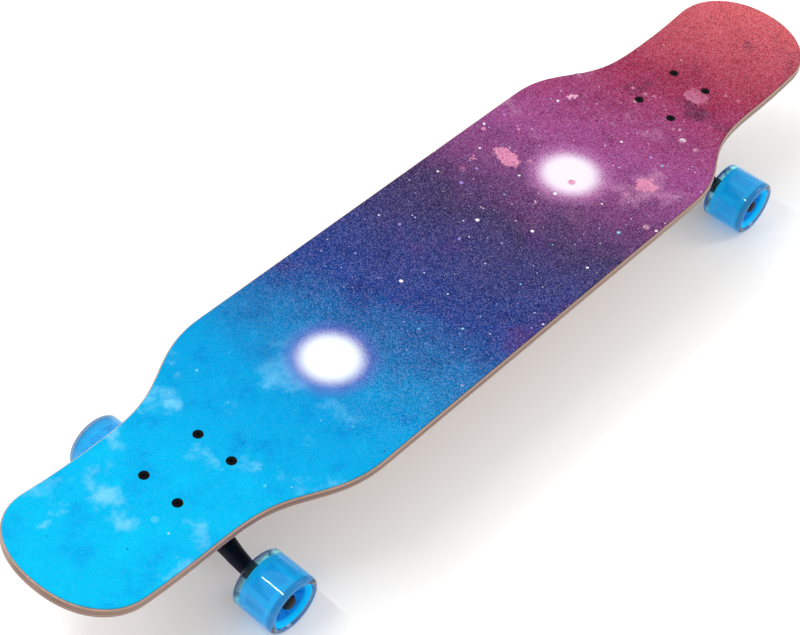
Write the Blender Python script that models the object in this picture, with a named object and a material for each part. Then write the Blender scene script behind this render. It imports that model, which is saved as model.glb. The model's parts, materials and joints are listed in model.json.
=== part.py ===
"""Dance longboard: a double-kick deck on two reverse-kingpin trucks with four clear wheels.

Frame: metres, +Z up, +X towards the front (red) end, origin on the ground under the board's
centre. Each truck is built in a frame of its own, whose +X points to the board's nearer end.
"""
import bpy
import bmesh
from math import cos, pi, radians, sin
from mathutils import Matrix, Vector

MM = 0.001
GAP = 0.3 * MM                    # between touching pieces

# ---- deck -------------------------------------------------------------------------------
DECK_TOP = 108.4 * MM             # the grip's upper face, in the flat middle of the board
GRIP_THICK = 0.8 * MM
DECK_THICK = 9.2 * MM             # seven plies
HALF_LENGTH = 531.0 * MM          # along the deck's skin
HALF_WIDTH = 116.5 * MM
NECK_HALF_WIDTH = 75.2 * MM       # beside the wheels
SHOULDER_START = 233.0 * MM       # where the straight sides begin to narrow
SHOULDER_END = 422.0 * MM         # where the neck is reached
SHOULDER_SHARP = 1.53             # exponents that shape the S-curve between the two
SHOULDER_SOFT = 3.48
TIP_START = 472.0 * MM            # where the round end begins
TIP_SQUARE = 2.15                 # a little squarer than an ellipse
KICK_START = 408.0 * MM
KICK_RADIUS = 433.0 * MM
CONCAVE_FLAT = 30.0 * MM          # half-width of the flat strip down the middle
CONCAVE_LIFT = 4.8 * MM           # rise of the deck's sides above that strip
TOP_ROUND = 1.2 * MM
BOTTOM_ROUND = 2.6 * MM
GRIP_INSET = 1.6 * MM
SIDE_STATIONS = 7                 # along each shoulder
TIP_STATIONS = 7                  # along each round end

# ---- trucks -----------------------------------------------------------------------------
WHEELBASE = 710.0 * MM            # between the bolt patterns' centres
BOLT_SPACING_X = 63.5 * MM
BOLT_SPACING_Y = 41.3 * MM
AXLE_HEIGHT = 30.0 * MM
AXLE_X = -1.7 * MM                # a little inboard of the bolt pattern's centre
RISER_THICK = 3.0 * MM
PLATE_THICK = 6.0 * MM
PLATE_LENGTH = 82.0 * MM
PLATE_WIDTH = 57.0 * MM
PLATE_CORNER = 7.0 * MM
STEER_ANGLE = radians(50.0)       # steering axis above the horizontal
RING_X = 0.3 * MM                 # centre of the hanger's ring, in the truck's frame
RING_Z = 65.0 * MM
PIVOT_REACH = 30.0 * MM           # from the ring's centre to the pivot's tip
RING_R = 15.5 * MM
RING_HOLE_R = 7.5 * MM
RING_HALF = 5.0 * MM
KINGPIN_R = 4.76 * MM
BUSHING_R = 12.5 * MM
BUSHING_TALL = 11.5 * MM
CONE_TALL = 10.0 * MM
WASHER_THICK = 1.5 * MM
PIVOT_BALL_R = 6.0 * MM
CUP_R = 8.2 * MM
HOLDER_R = 11.0 * MM
AXLE_R = 4.0 * MM
AXLE_HALF = 125.5 * MM
HANGER_HALF = 90.0 * MM
BEAM_R = 8.0 * MM

SEAT = RING_HALF + GAP + BUSHING_TALL + GAP + WASHER_THICK + GAP
HEAD_SEAT = SEAT + 8.5 * MM       # from the ring's centre to the kingpin's head
HEAD_TALL = 5.5 * MM

# ---- deck bolts -------------------------------------------------------------------------
BOLT_R = 2.4 * MM
BOLT_HEAD_R = 4.8 * MM
BOLT_HEAD_DEEP = 2.8 * MM
BOLT_HEAD_RIM = 0.5 * MM
NUT_R = 5.0 * MM
NUT_TALL = 5.0 * MM

# ---- wheels -----------------------------------------------------------------------------
WHEEL_R = 30.0 * MM
WHEEL_HALF = 24.0 * MM
WHEEL_CORNER = 4.3 * MM
WHEEL_Y = 105.0 * MM              # wheel's middle, from the board's centre line
CORE_R = 22.4 * MM
CORE_HALF = 19.0 * MM
BEARING_R = 11.0 * MM
BEARING_WIDE = 7.0 * MM
BEARING_APART = 10.0 * MM         # between the two bearings of a wheel
SPACER_R = 6.0 * MM
AXLE_NUT_R = 7.2 * MM
AXLE_NUT_TALL = 6.0 * MM

PLATE_TOP = DECK_TOP - GRIP_THICK - DECK_THICK - RISER_THICK - 3 * GAP
PLATE_BOTTOM = PLATE_TOP - PLATE_THICK
RISER_TOP = PLATE_TOP + GAP + RISER_THICK
HEX_ROOM = 1 / cos(pi / 6)        # a six-sided bore clears its round shaft at its flats
BOLT_PLACES = [
    (sx * BOLT_SPACING_X / 2, sy * BOLT_SPACING_Y / 2) for sx in (1, -1) for sy in (1, -1)
]


# ---- scene, materials, helpers ----------------------------------------------------------
def clear_scene():
    for obj in list(bpy.data.objects):
        bpy.data.objects.remove(obj, do_unlink=True)


def material(name, colour, roughness, metallic=0.0):
    mat = bpy.data.materials.new(name)
    mat.use_nodes = True
    shader = mat.node_tree.nodes["Principled BSDF"]
    shader.inputs["Base Color"].default_value = (*colour, 1.0)
    shader.inputs["Roughness"].default_value = roughness
    shader.inputs["Metallic"].default_value = metallic
    return mat


def make_materials():
    return {
        "ply": material("maple_ply", (0.55, 0.33, 0.17), 0.5),
        "grip": material("printed_grip", (0.16, 0.10, 0.42), 0.9),
        "cast": material("black_cast_metal", (0.012, 0.013, 0.018), 0.55, 0.6),
        "steel": material("steel", (0.45, 0.45, 0.46), 0.3, 1.0),
        "black_steel": material("black_steel", (0.02, 0.02, 0.022), 0.4, 0.9),
        "rubber": material("black_rubber", (0.02, 0.02, 0.02), 0.8),
        "bushing": material("blue_bushing", (0.02, 0.22, 0.60), 0.4),
        "urethane": material("clear_urethane", (0.45, 0.70, 0.85), 0.08),
        "core": material("blue_core", (0.0, 0.27, 0.72), 0.3),
    }


def empty(name, parent=None, matrix=None):
    obj = bpy.data.objects.new(name, None)
    bpy.context.scene.collection.objects.link(obj)
    obj.parent = parent
    if matrix is not None:
        obj.matrix_local = matrix
    return obj


def finish(name, bm, mat, parent=None, smooth=True):
    """Turn a bmesh into a named object with outward faces."""
    bmesh.ops.remove_doubles(bm, verts=bm.verts, dist=1e-6)
    bmesh.ops.recalc_face_normals(bm, faces=bm.faces)
    mesh = bpy.data.meshes.new(name)
    bm.to_mesh(mesh)
    bm.free()
    if mat is not None:
        mesh.materials.append(mat)
    if smooth:
        mesh.shade_smooth()
        mesh.set_sharp_from_angle(angle=radians(35))
    obj = bpy.data.objects.new(name, mesh)
    bpy.context.scene.collection.objects.link(obj)
    obj.parent = parent
    return obj


def copy_of(source, name, parent):
    obj = bpy.data.objects.new(name, source.data)
    bpy.context.scene.collection.objects.link(obj)
    obj.parent = parent
    return obj


def boolean(obj, cutter, operation="DIFFERENCE"):
    """Cut or join with a helper object, which is hidden from the build."""
    mod = obj.modifiers.new(cutter.name, "BOOLEAN")
    mod.operation = operation
    mod.solver = "EXACT"
    mod.object = cutter
    cutter.hide_render = True
    cutter.display_type = "WIRE"


def turned(name, profile, mat, parent=None, steps=32, axis="Y", closed=True, matrix=None):
    """Spin a profile of (distance along the axis, radius) points into a ring or a solid."""
    along = {"X": Vector((1, 0, 0)), "Y": Vector((0, 1, 0)), "Z": Vector((0, 0, 1))}[axis]
    out = Vector((1, 0, 0)) if axis == "Z" else Vector((0, 0, -1))
    bm = bmesh.new()
    verts = [bm.verts.new(along * a + out * r) for a, r in profile]
    edges = [bm.edges.new(pair) for pair in zip(verts, verts[1:])]
    if closed:
        edges.append(bm.edges.new((verts[-1], verts[0])))
    bmesh.ops.spin(
        bm, geom=verts + edges, cent=(0, 0, 0), axis=along, angle=2 * pi, steps=steps, use_merge=True
    )
    if matrix is not None:
        bmesh.ops.transform(bm, matrix=matrix, verts=bm.verts)
    return finish(name, bm, mat, parent)


def rod(name, start, end, radius, mat, parent=None, steps=24, axis="X", matrix=None):
    profile = [(start, 0.0), (start, radius), (end, radius), (end, 0.0)]
    return turned(name, profile, mat, parent, steps, axis, closed=False, matrix=matrix)


def ring(name, start, end, inner, outer, mat, parent=None, steps=32, axis="Y"):
    profile = [(start, inner), (start, outer), (end, outer), (end, inner)]
    return turned(name, profile, mat, parent, steps, axis)


def prism(name, outline, low, high, axis, mat, parent=None, matrix=None):
    """Extrude an outline of (x, z) points along Y, or of (x, y) points along Z."""
    bm = bmesh.new()
    if axis == "Y":
        verts = [bm.verts.new((x, low, z)) for x, z in outline]
        move = Vector((0, high - low, 0))
    else:
        verts = [bm.verts.new((x, y, low)) for x, y in outline]
        move = Vector((0, 0, high - low))
    face = bm.faces.new(verts)
    swept = bmesh.ops.extrude_face_region(bm, geom=[face])
    moved = [v for v in swept["geom"] if isinstance(v, bmesh.types.BMVert)]
    bmesh.ops.translate(bm, verts=moved, vec=move)
    if matrix is not None:
        bmesh.ops.transform(bm, matrix=matrix, verts=bm.verts)
    return finish(name, bm, mat, parent, smooth=False)


def rounded_rectangle(length, width, corner, steps=4):
    points = []
    for sx, sy, start in ((1, 1, 0), (-1, 1, 90), (-1, -1, 180), (1, -1, 270)):
        for i in range(steps + 1):
            a = radians(start + 90 * i / steps)
            x = sx * (length / 2 - corner) + corner * cos(a)
            y = sy * (width / 2 - corner) + corner * sin(a)
            points.append((x, y))
    return points


# ---- deck and grip ----------------------------------------------------------------------
def half_width(s):
    """Half-width of the board at a distance s along its skin from the middle."""
    s = abs(s)
    t = min(max((s - SHOULDER_START) / (SHOULDER_END - SHOULDER_START), 0.0), 1.0)
    rise = t ** SHOULDER_SHARP
    narrow = rise / (rise + (1 - t) ** SHOULDER_SOFT)
    width = HALF_WIDTH + (NECK_HALF_WIDTH - HALF_WIDTH) * narrow
    v = min(max((s - TIP_START) / (HALF_LENGTH - TIP_START), 0.0), 1.0)
    return width * max(1 - v ** TIP_SQUARE, 0.0) ** (1 / TIP_SQUARE)


def skin_point(s, y, depth):
    """A place on the pressed deck: s along it, y across it, depth below its upper face."""
    bend = max(abs(s) - KICK_START, 0.0) / KICK_RADIUS
    side = 1 if s >= 0 else -1
    x = min(abs(s), KICK_START) + KICK_RADIUS * sin(bend)
    z = KICK_RADIUS * (1 - cos(bend))
    lift = max(abs(y) - CONCAVE_FLAT, 0.0) / (HALF_WIDTH - CONCAVE_FLAT)
    z += CONCAVE_LIFT * lift ** 2
    return Vector((side * (x + sin(bend) * depth), y, z - cos(bend) * depth))


def stations():
    """Distances along the board where its outline has points, from the rear tip to the front."""
    run = SHOULDER_END - SHOULDER_START
    half = [SHOULDER_START + run * i / SIDE_STATIONS for i in range(SIDE_STATIONS)]
    half.append(SHOULDER_END)
    half.append(TIP_START)
    reach = HALF_LENGTH - TIP_START
    half += [TIP_START + reach * sin(pi / 2 * i / TIP_STATIONS) for i in range(1, TIP_STATIONS)]
    return [-s for s in reversed(half)] + half


def rim_point(s, inset):
    """The outline's right-hand point at station s, moved inwards by inset."""
    step = 0.2 * MM
    ahead = half_width(min(s + step, HALF_LENGTH))
    behind = half_width(max(s - step, -HALF_LENGTH))
    slope = (ahead - behind) / (2 * step)
    size = (1 + slope * slope) ** 0.5
    width = half_width(s) - inset / size
    return s + inset * slope / size, max(width, 0.0)


def board_shell(name, rims, top_depth, bottom_depth, mat):
    """A closed shell over the outline; rims lists (inset, depth) rows from its top to its bottom."""
    bm = bmesh.new()
    rows = []
    for s in stations():
        right = [(*rim_point(s, inset), depth) for inset, depth in rims]
        top_s, top_w, _ = right[0]
        low_s, low_w, _ = right[-1]
        strip_top = min(CONCAVE_FLAT, 0.45 * top_w)
        strip_low = min(CONCAVE_FLAT, 0.45 * low_w)
        mid_top = (strip_top + top_w) / 2
        mid_low = (strip_low + low_w) / 2
        loop = [(top_s, y, top_depth) for y in (-mid_top, -strip_top, strip_top, mid_top)]
        loop += right
        loop += [(low_s, y, bottom_depth) for y in (mid_low, strip_low, -strip_low, -mid_low)]
        loop += [(a, -w, depth) for a, w, depth in reversed(right)]
        rows.append([bm.verts.new(skin_point(*place)) for place in loop])
    count = len(rows[0])
    for a, b in zip(rows, rows[1:]):
        for j in range(count):
            k = (j + 1) % count
            bm.faces.new((a[j], a[k], b[k], b[j]))
    close_end(bm, rows[0], rims, top_depth, bottom_depth, -1)
    close_end(bm, rows[-1], rims, top_depth, bottom_depth, 1)
    return finish(name, bm, mat)


def close_end(bm, row, rims, top_depth, bottom_depth, side):
    """Close the shell at a tip with one point for each pair of rim rows."""
    tips = [bm.verts.new(skin_point(side * (HALF_LENGTH - inset), 0, depth)) for inset, depth in rims]
    size = len(rims)
    right = row[4:4 + size]
    left = list(reversed(row[8 + size:8 + 2 * size]))
    for i in range(size - 1):
        bm.faces.new((right[i], right[i + 1], tips[i + 1], tips[i]))
        bm.faces.new((left[i + 1], left[i], tips[i], tips[i + 1]))
    top = [left[0]] + row[0:4] + [right[0]]
    low = [right[-1]] + row[4 + size:8 + size] + [left[-1]]
    for edge, tip in ((top, tips[0]), (low, tips[-1])):
        for a, b in zip(edge, edge[1:]):
            bm.faces.new((a, b, tip))


def hole_cutter(name, radius, countersink, parent, at):
    """A cutter through the board for one bolt, with a conical seat for its head."""
    x, y = at
    top = DECK_TOP + 2 * MM
    seat = DECK_TOP - BOLT_HEAD_RIM
    low = DECK_TOP - 14 * MM
    if countersink:
        wide = BOLT_HEAD_R + GAP
        deep = seat - BOLT_HEAD_DEEP - GAP
        profile = [(top, 0.0), (top, wide), (seat, wide), (deep, radius), (low, radius), (low, 0.0)]
    else:
        profile = [(top, 0.0), (top, radius), (low, radius), (low, 0.0)]
    cutter = turned(name, profile, None, parent, steps=12, axis="Z", closed=False)
    cutter.location = (x, y, 0)
    return cutter


def build_board(mats, trucks):
    deck_z = DECK_TOP - GRIP_THICK - GAP
    thick = DECK_THICK
    rims = [
        (TOP_ROUND, 0.0),
        (0.0, TOP_ROUND),
        (0.0, thick - BOTTOM_ROUND),
        (BOTTOM_ROUND, thick),
    ]
    deck = board_shell("deck", rims, 0.0, thick, mats["ply"])
    deck.location.z = deck_z
    rims = [(GRIP_INSET, 0.0), (GRIP_INSET, GRIP_THICK)]
    grip = board_shell("grip_tape", rims, 0.0, GRIP_THICK, mats["grip"])
    grip.location.z = DECK_TOP
    for end, truck in trucks.items():
        for i, place in enumerate(BOLT_PLACES, 1):
            cone = hole_cutter(f"deck_hole_{end}_{i}", BOLT_R + GAP, True, truck, place)
            boolean(deck, cone)
            hole = hole_cutter(f"grip_hole_{end}_{i}", BOLT_HEAD_R + GAP, False, truck, place)
            boolean(grip, hole)


# ---- trucks -----------------------------------------------------------------------------
def steering_matrix():
    """The ring's frame: +X along the kingpin to its nut, +Z along the steering axis."""
    turn = Matrix.Rotation(pi / 2 - STEER_ANGLE, 4, "Y")
    return Matrix.Translation((RING_X, 0, RING_Z)) @ turn


def in_ring_frame(x, z):
    place = steering_matrix().inverted() @ Vector((x, 0, z))
    return place.x, place.z


def build_riser(end, mats, truck):
    outline = rounded_rectangle(PLATE_LENGTH + 2 * MM, PLATE_WIDTH + 1 * MM, PLATE_CORNER)
    riser = prism(f"riser_pad_{end}", outline, PLATE_TOP + GAP, RISER_TOP, "Z", mats["rubber"], truck)
    window = prism(
        f"riser_window_{end}", rounded_rectangle(30 * MM, 24 * MM, 5 * MM, 2),
        PLATE_TOP - 2 * MM, RISER_TOP + 2 * MM, "Z", None, truck,
    )
    boolean(riser, window)
    cut_bolt_holes(riser, end, "riser", truck)


def cut_bolt_holes(obj, end, what, truck):
    for i, (x, y) in enumerate(BOLT_PLACES, 1):
        name = f"{what}_hole_{end}_{i}"
        low = PLATE_BOTTOM - 2 * MM
        hole = rod(name, low, RISER_TOP + 2 * MM, BOLT_R + GAP, None, truck, 12, "Z")
        hole.location = (x, y, 0)
        boolean(obj, hole)


def build_baseplate(end, mats, truck):
    frame = steering_matrix()

    def place(x, z):
        point = frame @ Vector((x, 0, z))
        return point.x, point.z

    outline = rounded_rectangle(PLATE_LENGTH, PLATE_WIDTH, PLATE_CORNER)
    plate = prism(f"baseplate_{end}", outline, PLATE_BOTTOM, PLATE_TOP, "Z", mats["cast"], truck)
    inside = PLATE_BOTTOM + 2 * MM
    seat_top = (RING_X - 5.4 * MM, PLATE_BOTTOM)
    tower = [
        (seat_top[0], inside),
        seat_top,
        place(-SEAT, -14.0 * MM),
        place(-10.5 * MM, -19.8 * MM),
        place(-9.5 * MM, -PIVOT_REACH),
        place(-11.0 * MM, -PIVOT_REACH - HOLDER_R + 1.5 * MM),
        (RING_X - 38.6 * MM, RING_Z - 4.0 * MM),
        (-39.8 * MM, RING_Z + 18.0 * MM),
        (-39.8 * MM, inside),
    ]
    body = prism(f"tower_{end}", tower, -13.5 * MM, 13.5 * MM, "Y", None, truck)
    boolean(plate, body, "UNION")
    shift = Matrix.Translation((0, 0, -PIVOT_REACH))
    holder_at = frame @ shift
    holder = rod(f"cup_holder_{end}", -12 * MM, 2 * MM, HOLDER_R, None, truck, 22, matrix=holder_at)
    boolean(plate, holder, "UNION")
    cavity_r = CUP_R + GAP
    cavity = rod(f"cup_cavity_{end}", -8.8 * MM, 6 * MM, cavity_r, None, truck, 18, matrix=frame @ shift)
    boolean(plate, cavity)
    bore_r = KINGPIN_R + GAP
    bore = rod(f"kingpin_bore_{end}", -SEAT - 20 * MM, 6 * MM, bore_r, None, truck, 14, matrix=frame)
    boolean(plate, bore)
    pocket_end = -HEAD_SEAT - HEAD_TALL - 1.5 * MM
    pocket = rod(f"head_pocket_{end}", pocket_end, -HEAD_SEAT, 8.6 * MM, None, truck, 16, matrix=frame)
    boolean(plate, pocket)
    well = prism(
        f"head_well_{end}", rounded_rectangle(19 * MM, 18 * MM, 5 * MM, 2),
        PLATE_BOTTOM - 3 * MM, PLATE_TOP + 2 * MM, "Z", None, truck, Matrix.Translation((RING_X - 23 * MM, 0, 0)),
    )
    boolean(plate, well)
    cut_bolt_holes(plate, end, "plate", truck)


def build_kingpin(end, mats, fixed):
    """The pieces threaded on the kingpin, from the deck's side outwards."""
    head_top = -HEAD_SEAT - GAP
    low_seat = RING_HALF + GAP + CONE_TALL + GAP + WASHER_THICK
    profile = [
        (head_top - HEAD_TALL, 0.0), (head_top - HEAD_TALL, 7.0 * MM),
        (head_top - HEAD_TALL + 1 * MM, 8.0 * MM), (head_top, 8.0 * MM),
        (head_top, KINGPIN_R), (low_seat + 10 * MM, KINGPIN_R),
        (low_seat + 11 * MM, KINGPIN_R - 1 * MM), (low_seat + 11 * MM, 0.0),
    ]
    turned(f"kingpin_{end}", profile, mats["black_steel"], fixed, 14, "X", closed=False)
    bore = KINGPIN_R + GAP
    top = -RING_HALF - GAP
    ring(
        f"cup_washer_boardside_{end}", top - BUSHING_TALL - GAP - WASHER_THICK, top - BUSHING_TALL - GAP,
        bore, BUSHING_R + 0.6 * MM, mats["steel"], fixed, 18, "X",
    )
    barrel = [
        (top - BUSHING_TALL, bore), (top - BUSHING_TALL, BUSHING_R), (top - 1.5 * MM, BUSHING_R),
        (top, BUSHING_R - 1.5 * MM), (top, bore),
    ]
    turned(f"bushing_boardside_{end}", barrel, mats["bushing"], fixed, 18, "X")
    low = RING_HALF + GAP
    cone = [
        (low, bore), (low, BUSHING_R), (low + 2.5 * MM, BUSHING_R), (low + CONE_TALL, 9.0 * MM),
        (low + CONE_TALL, bore),
    ]
    turned(f"bushing_roadside_{end}", cone, mats["bushing"], fixed, 18, "X")
    ring(
        f"cup_washer_roadside_{end}", low + CONE_TALL + GAP, low + CONE_TALL + GAP + WASHER_THICK,
        bore, 10.0 * MM, mats["steel"], fixed, 18, "X",
    )
    nut_low = low_seat + GAP
    bore = bore * HEX_ROOM
    nut = [
        (nut_low, bore), (nut_low, 8.0 * MM), (nut_low + 5.5 * MM, 8.0 * MM),
        (nut_low + 7.5 * MM, 6.4 * MM), (nut_low + 7.5 * MM, bore),
    ]
    turned(f"kingpin_nut_{end}", nut, mats["steel"], fixed, 6, "X")


def build_pivot_cup(end, mats, fixed):
    ball = PIVOT_BALL_R + GAP
    bowl = [(-ball * cos(a), ball * sin(a)) for a in (radians(22.5 * i) for i in range(5))]
    profile = bowl + [(2.0 * MM, ball + 1.2 * MM), (2.0 * MM, CUP_R), (-8.2 * MM, CUP_R), (-8.2 * MM, 0.0)]
    shift = Matrix.Translation((0, 0, -PIVOT_REACH))
    turned(f"pivot_cup_{end}", profile, mats["rubber"], fixed, 14, "X", closed=False, matrix=shift)


# the hanger's beam: distance from the centre line, radius, and shift towards the deck and nose
BEAM_SECTIONS = [
    (HANGER_HALF, BEAM_R, 0.0),
    (72.0 * MM, BEAM_R, 0.0),
    (56.0 * MM, 9.0 * MM, 2.1 * MM),
    (43.0 * MM, 10.0 * MM, 4.5 * MM),
    (27.0 * MM, 11.5 * MM, 6.3 * MM),
    (16.0 * MM, 11.0 * MM, 2.8 * MM),
    (0.0, 11.0 * MM, 2.8 * MM),
]


def build_beam(name, mat, parent, axle):
    """Loft the hanger's beam through its round sections, from one wheel to the other."""
    bm = bmesh.new()
    loops = []
    sections = [(-y, r, shift) for y, r, shift in BEAM_SECTIONS] + [
        (y, r, shift) for y, r, shift in reversed(BEAM_SECTIONS[:-1])
    ]
    sides = 16
    for y, radius, shift in sections:
        centre = Vector((axle[0] - shift, y, axle[1]))
        angles = [2 * pi * i / sides for i in range(sides)]
        loops.append([bm.verts.new(centre + Vector((cos(a), 0, sin(a))) * radius) for a in angles])
    for a, b in zip(loops, loops[1:]):
        for i in range(sides):
            j = (i + 1) % sides
            bm.faces.new((a[i], a[j], b[j], b[i]))
    bm.faces.new(loops[0])
    bm.faces.new(list(reversed(loops[-1])))
    return finish(name, bm, mat, parent)


def build_hanger(end, mats, steering):
    axle = in_ring_frame(AXLE_X, AXLE_HEIGHT)
    hanger = build_beam(f"hanger_{end}", mats["cast"], steering, axle)
    arm = [
        (-RING_HALF + 0.4 * MM, -12.0 * MM),
        (-RING_HALF + 0.4 * MM, -16.5 * MM),
        (6.5 * MM, -20.5 * MM),
        (9.5 * MM, -26.0 * MM),
        (axle[0] - 2 * MM, axle[1] - 3 * MM),
        (axle[0] + 6 * MM, axle[1] + 3 * MM),
        (17.5 * MM, -17.4 * MM),
        (5.4 * MM, -13.4 * MM),
        (RING_HALF - 0.4 * MM, -12.0 * MM),
    ]
    web = prism(f"hanger_arm_{end}", arm, -9.5 * MM, 9.5 * MM, "Y", None, steering)
    boolean(hanger, web, "UNION")
    eye = rod(f"hanger_ring_{end}", -RING_HALF, RING_HALF, RING_R, None, steering, 22)
    boolean(hanger, eye, "UNION")
    tip = [(-PIVOT_BALL_R * cos(a), PIVOT_BALL_R * sin(a)) for a in (radians(25 * i) for i in range(5))]
    nose = tip + [(4.5 * MM, 4.8 * MM), (7.5 * MM, 5.6 * MM), (14 * MM, 8.5 * MM), (14 * MM, 0.0)]
    shift = Matrix.Translation((0, 0, -PIVOT_REACH))
    pivot = turned(f"hanger_nose_{end}", nose, None, steering, 14, "X", closed=False, matrix=shift)
    boolean(hanger, pivot, "UNION")
    eye_bore = rod(f"ring_bore_{end}", -12 * MM, 12 * MM, RING_HOLE_R, None, steering, 18)
    boolean(hanger, eye_bore)
    axle_place = Matrix.Translation((axle[0], 0, axle[1]))
    through = HANGER_HALF + 5 * MM
    axle_bore = rod(
        f"axle_bore_{end}", -through, through, AXLE_R + GAP, None, steering, 12, "Y", axle_place
    )
    boolean(hanger, axle_bore)
    tip_in = 0.8 * MM
    rod_profile = [
        (-AXLE_HALF, 0.0), (-AXLE_HALF, AXLE_R - tip_in), (-AXLE_HALF + tip_in, AXLE_R),
        (AXLE_HALF - tip_in, AXLE_R), (AXLE_HALF, AXLE_R - tip_in), (AXLE_HALF, 0.0),
    ]
    turned(f"axle_{end}", rod_profile, mats["steel"], steering, 12, "Y", closed=False, matrix=axle_place)
    return axle


def build_wheels(end, mats, steering, axle, names, parts):
    """Two wheels with what holds them on; names lists (side name, sign of the truck's Y)."""
    level = Matrix.Rotation(STEER_ANGLE - pi / 2, 4, "Y")
    for side, sign in names:
        centre = Matrix.Translation((axle[0], sign * WHEEL_Y, axle[1]))
        hub = empty(f"wheel_frame_{end}_{side}", steering, centre @ level)
        copy_of(parts["tyre"], f"wheel_tyre_{end}_{side}", hub)
        copy_of(parts["core"], f"wheel_core_{end}_{side}", hub)
        copy_of(parts["spacer"], f"bearing_spacer_{end}_{side}", hub)
        offset = (BEARING_APART + BEARING_WIDE) / 2
        for where, out in (("inner", -sign), ("outer", sign)):
            bearing = copy_of(parts["bearing"], f"bearing_{where}_{end}_{side}", hub)
            bearing.location.y = out * offset
        nut_at = Matrix.Translation((axle[0], sign * WHEEL_Y, axle[1])) @ level
        nut = copy_of(parts["nut"], f"axle_nut_{end}_{side}", steering)
        nut.matrix_local = nut_at @ Matrix.Rotation(0 if sign > 0 else pi, 4, "X")


def tyre_profile():
    """Half-section of the urethane: rounded shoulders outside, a short flare at each mouth."""
    corner = WHEEL_CORNER
    half = WHEEL_HALF
    mouth = 24.6 * MM
    bore = CORE_R + GAP
    shoulder = [
        (half - corner + corner * sin(a), WHEEL_R - corner + corner * cos(a))
        for a in (0, radians(45), radians(90))
    ]
    right = shoulder + [(half, mouth), (CORE_HALF, bore)]
    return [(-y, r) for y, r in reversed(right)] + right


def core_profile():
    """Half-section of the core: outer barrel, dished faces, bearing seats and the stop between."""
    seat = BEARING_R + GAP
    seat_end = BEARING_APART / 2 + BEARING_WIDE + GAP
    right = [
        (CORE_HALF, CORE_R),
        (CORE_HALF, CORE_R - 2.2 * MM),
        (seat_end + 0.5 * MM, seat),
        (BEARING_APART / 2 - GAP, seat),
        (BEARING_APART / 2 - GAP, BEARING_R - 1.6 * MM),
    ]
    return [(-y, r) for y, r in reversed(right)] + right


def build_wheel_parts(mats):
    """Meshes that the four wheels share; the source objects are removed afterwards."""
    spacer_half = BEARING_APART / 2 - GAP
    nut_low = (BEARING_APART / 2 + BEARING_WIDE) + 0.7 * MM
    bore = AXLE_R + GAP
    hex_bore = bore * HEX_ROOM
    nut = [
        (nut_low, hex_bore), (nut_low, 6.2 * MM), (nut_low + 1 * MM, 6.2 * MM),
        (nut_low + 1 * MM, AXLE_NUT_R), (nut_low + AXLE_NUT_TALL, AXLE_NUT_R),
        (nut_low + AXLE_NUT_TALL + 1.2 * MM, AXLE_NUT_R - 1.2 * MM),
        (nut_low + AXLE_NUT_TALL + 1.2 * MM, hex_bore),
    ]
    return {
        "tyre": turned("tyre_source", tyre_profile(), mats["urethane"], steps=28),
        "core": turned("core_source", core_profile(), mats["core"], steps=24),
        "bearing": ring(
            "bearing_source", -BEARING_WIDE / 2, BEARING_WIDE / 2, bore, BEARING_R, mats["steel"], steps=16
        ),
        "spacer": ring("spacer_source", -spacer_half, spacer_half, bore, SPACER_R, mats["steel"], steps=12),
        "nut": turned("nut_source", nut, mats["steel"], steps=6),
    }


def build_bolts(mats, trucks):
    """Flat-head bolts through grip, deck, riser and baseplate, each with its nut on its end."""
    head = DECK_TOP - 0.2 * MM
    rim = head - BOLT_HEAD_RIM + 0.2 * MM
    nut_top = PLATE_BOTTOM - GAP
    end_low = nut_top - NUT_TALL - 1.6 * MM
    profile = [
        (head, 0.0), (head, BOLT_HEAD_R), (rim, BOLT_HEAD_R), (rim - BOLT_HEAD_DEEP, BOLT_R),
        (nut_top, BOLT_R), (nut_top, NUT_R), (nut_top - NUT_TALL, NUT_R), (nut_top - NUT_TALL, BOLT_R),
        (end_low, BOLT_R), (end_low, 0.0),
    ]
    source = turned("bolt_source", profile, mats["black_steel"], steps=10, axis="Z", closed=False)
    for end, truck in trucks.items():
        for i, (x, y) in enumerate(BOLT_PLACES, 1):
            bolt = copy_of(source, f"deck_bolt_{end}_{i}", truck)
            bolt.location = (x, y, 0)
    return source


def main():
    clear_scene()
    mats = make_materials()
    half_turn = Matrix.Rotation(pi, 4, "Z")
    trucks = {
        "front": empty("truck_front", None, Matrix.Translation((WHEELBASE / 2, 0, 0))),
        "rear": empty("truck_rear", None, Matrix.Translation((-WHEELBASE / 2, 0, 0)) @ half_turn),
    }
    sides = {"front": (("left", 1), ("right", -1)), "rear": (("left", -1), ("right", 1))}
    parts = build_wheel_parts(mats)
    build_board(mats, trucks)
    for end, truck in trucks.items():
        fixed = empty(f"kingpin_frame_{end}", truck, steering_matrix())
        steering = empty(f"steering_frame_{end}", truck, steering_matrix())
        build_riser(end, mats, truck)
        build_baseplate(end, mats, truck)
        build_pivot_cup(end, mats, fixed)
        build_kingpin(end, mats, fixed)
        axle = build_hanger(end, mats, steering)
        build_wheels(end, mats, steering, axle, sides[end], parts)
    bolt_source = build_bolts(mats, trucks)
    for source in [*parts.values(), bolt_source]:
        bpy.data.objects.remove(source, do_unlink=True)
    bpy.context.view_layer.update()


main()
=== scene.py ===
"""Dance longboard: the finished look of every piece, laid out as a Blender add-on.

The packed model is loaded as a fixed frame. Each operator makes one piece or one group of like
pieces around it, in metres and in the frame's own place.
"""
import json
from math import cos, pi, radians, sin, sqrt

import bmesh
import bpy
from mathutils import Matrix, Vector


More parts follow.
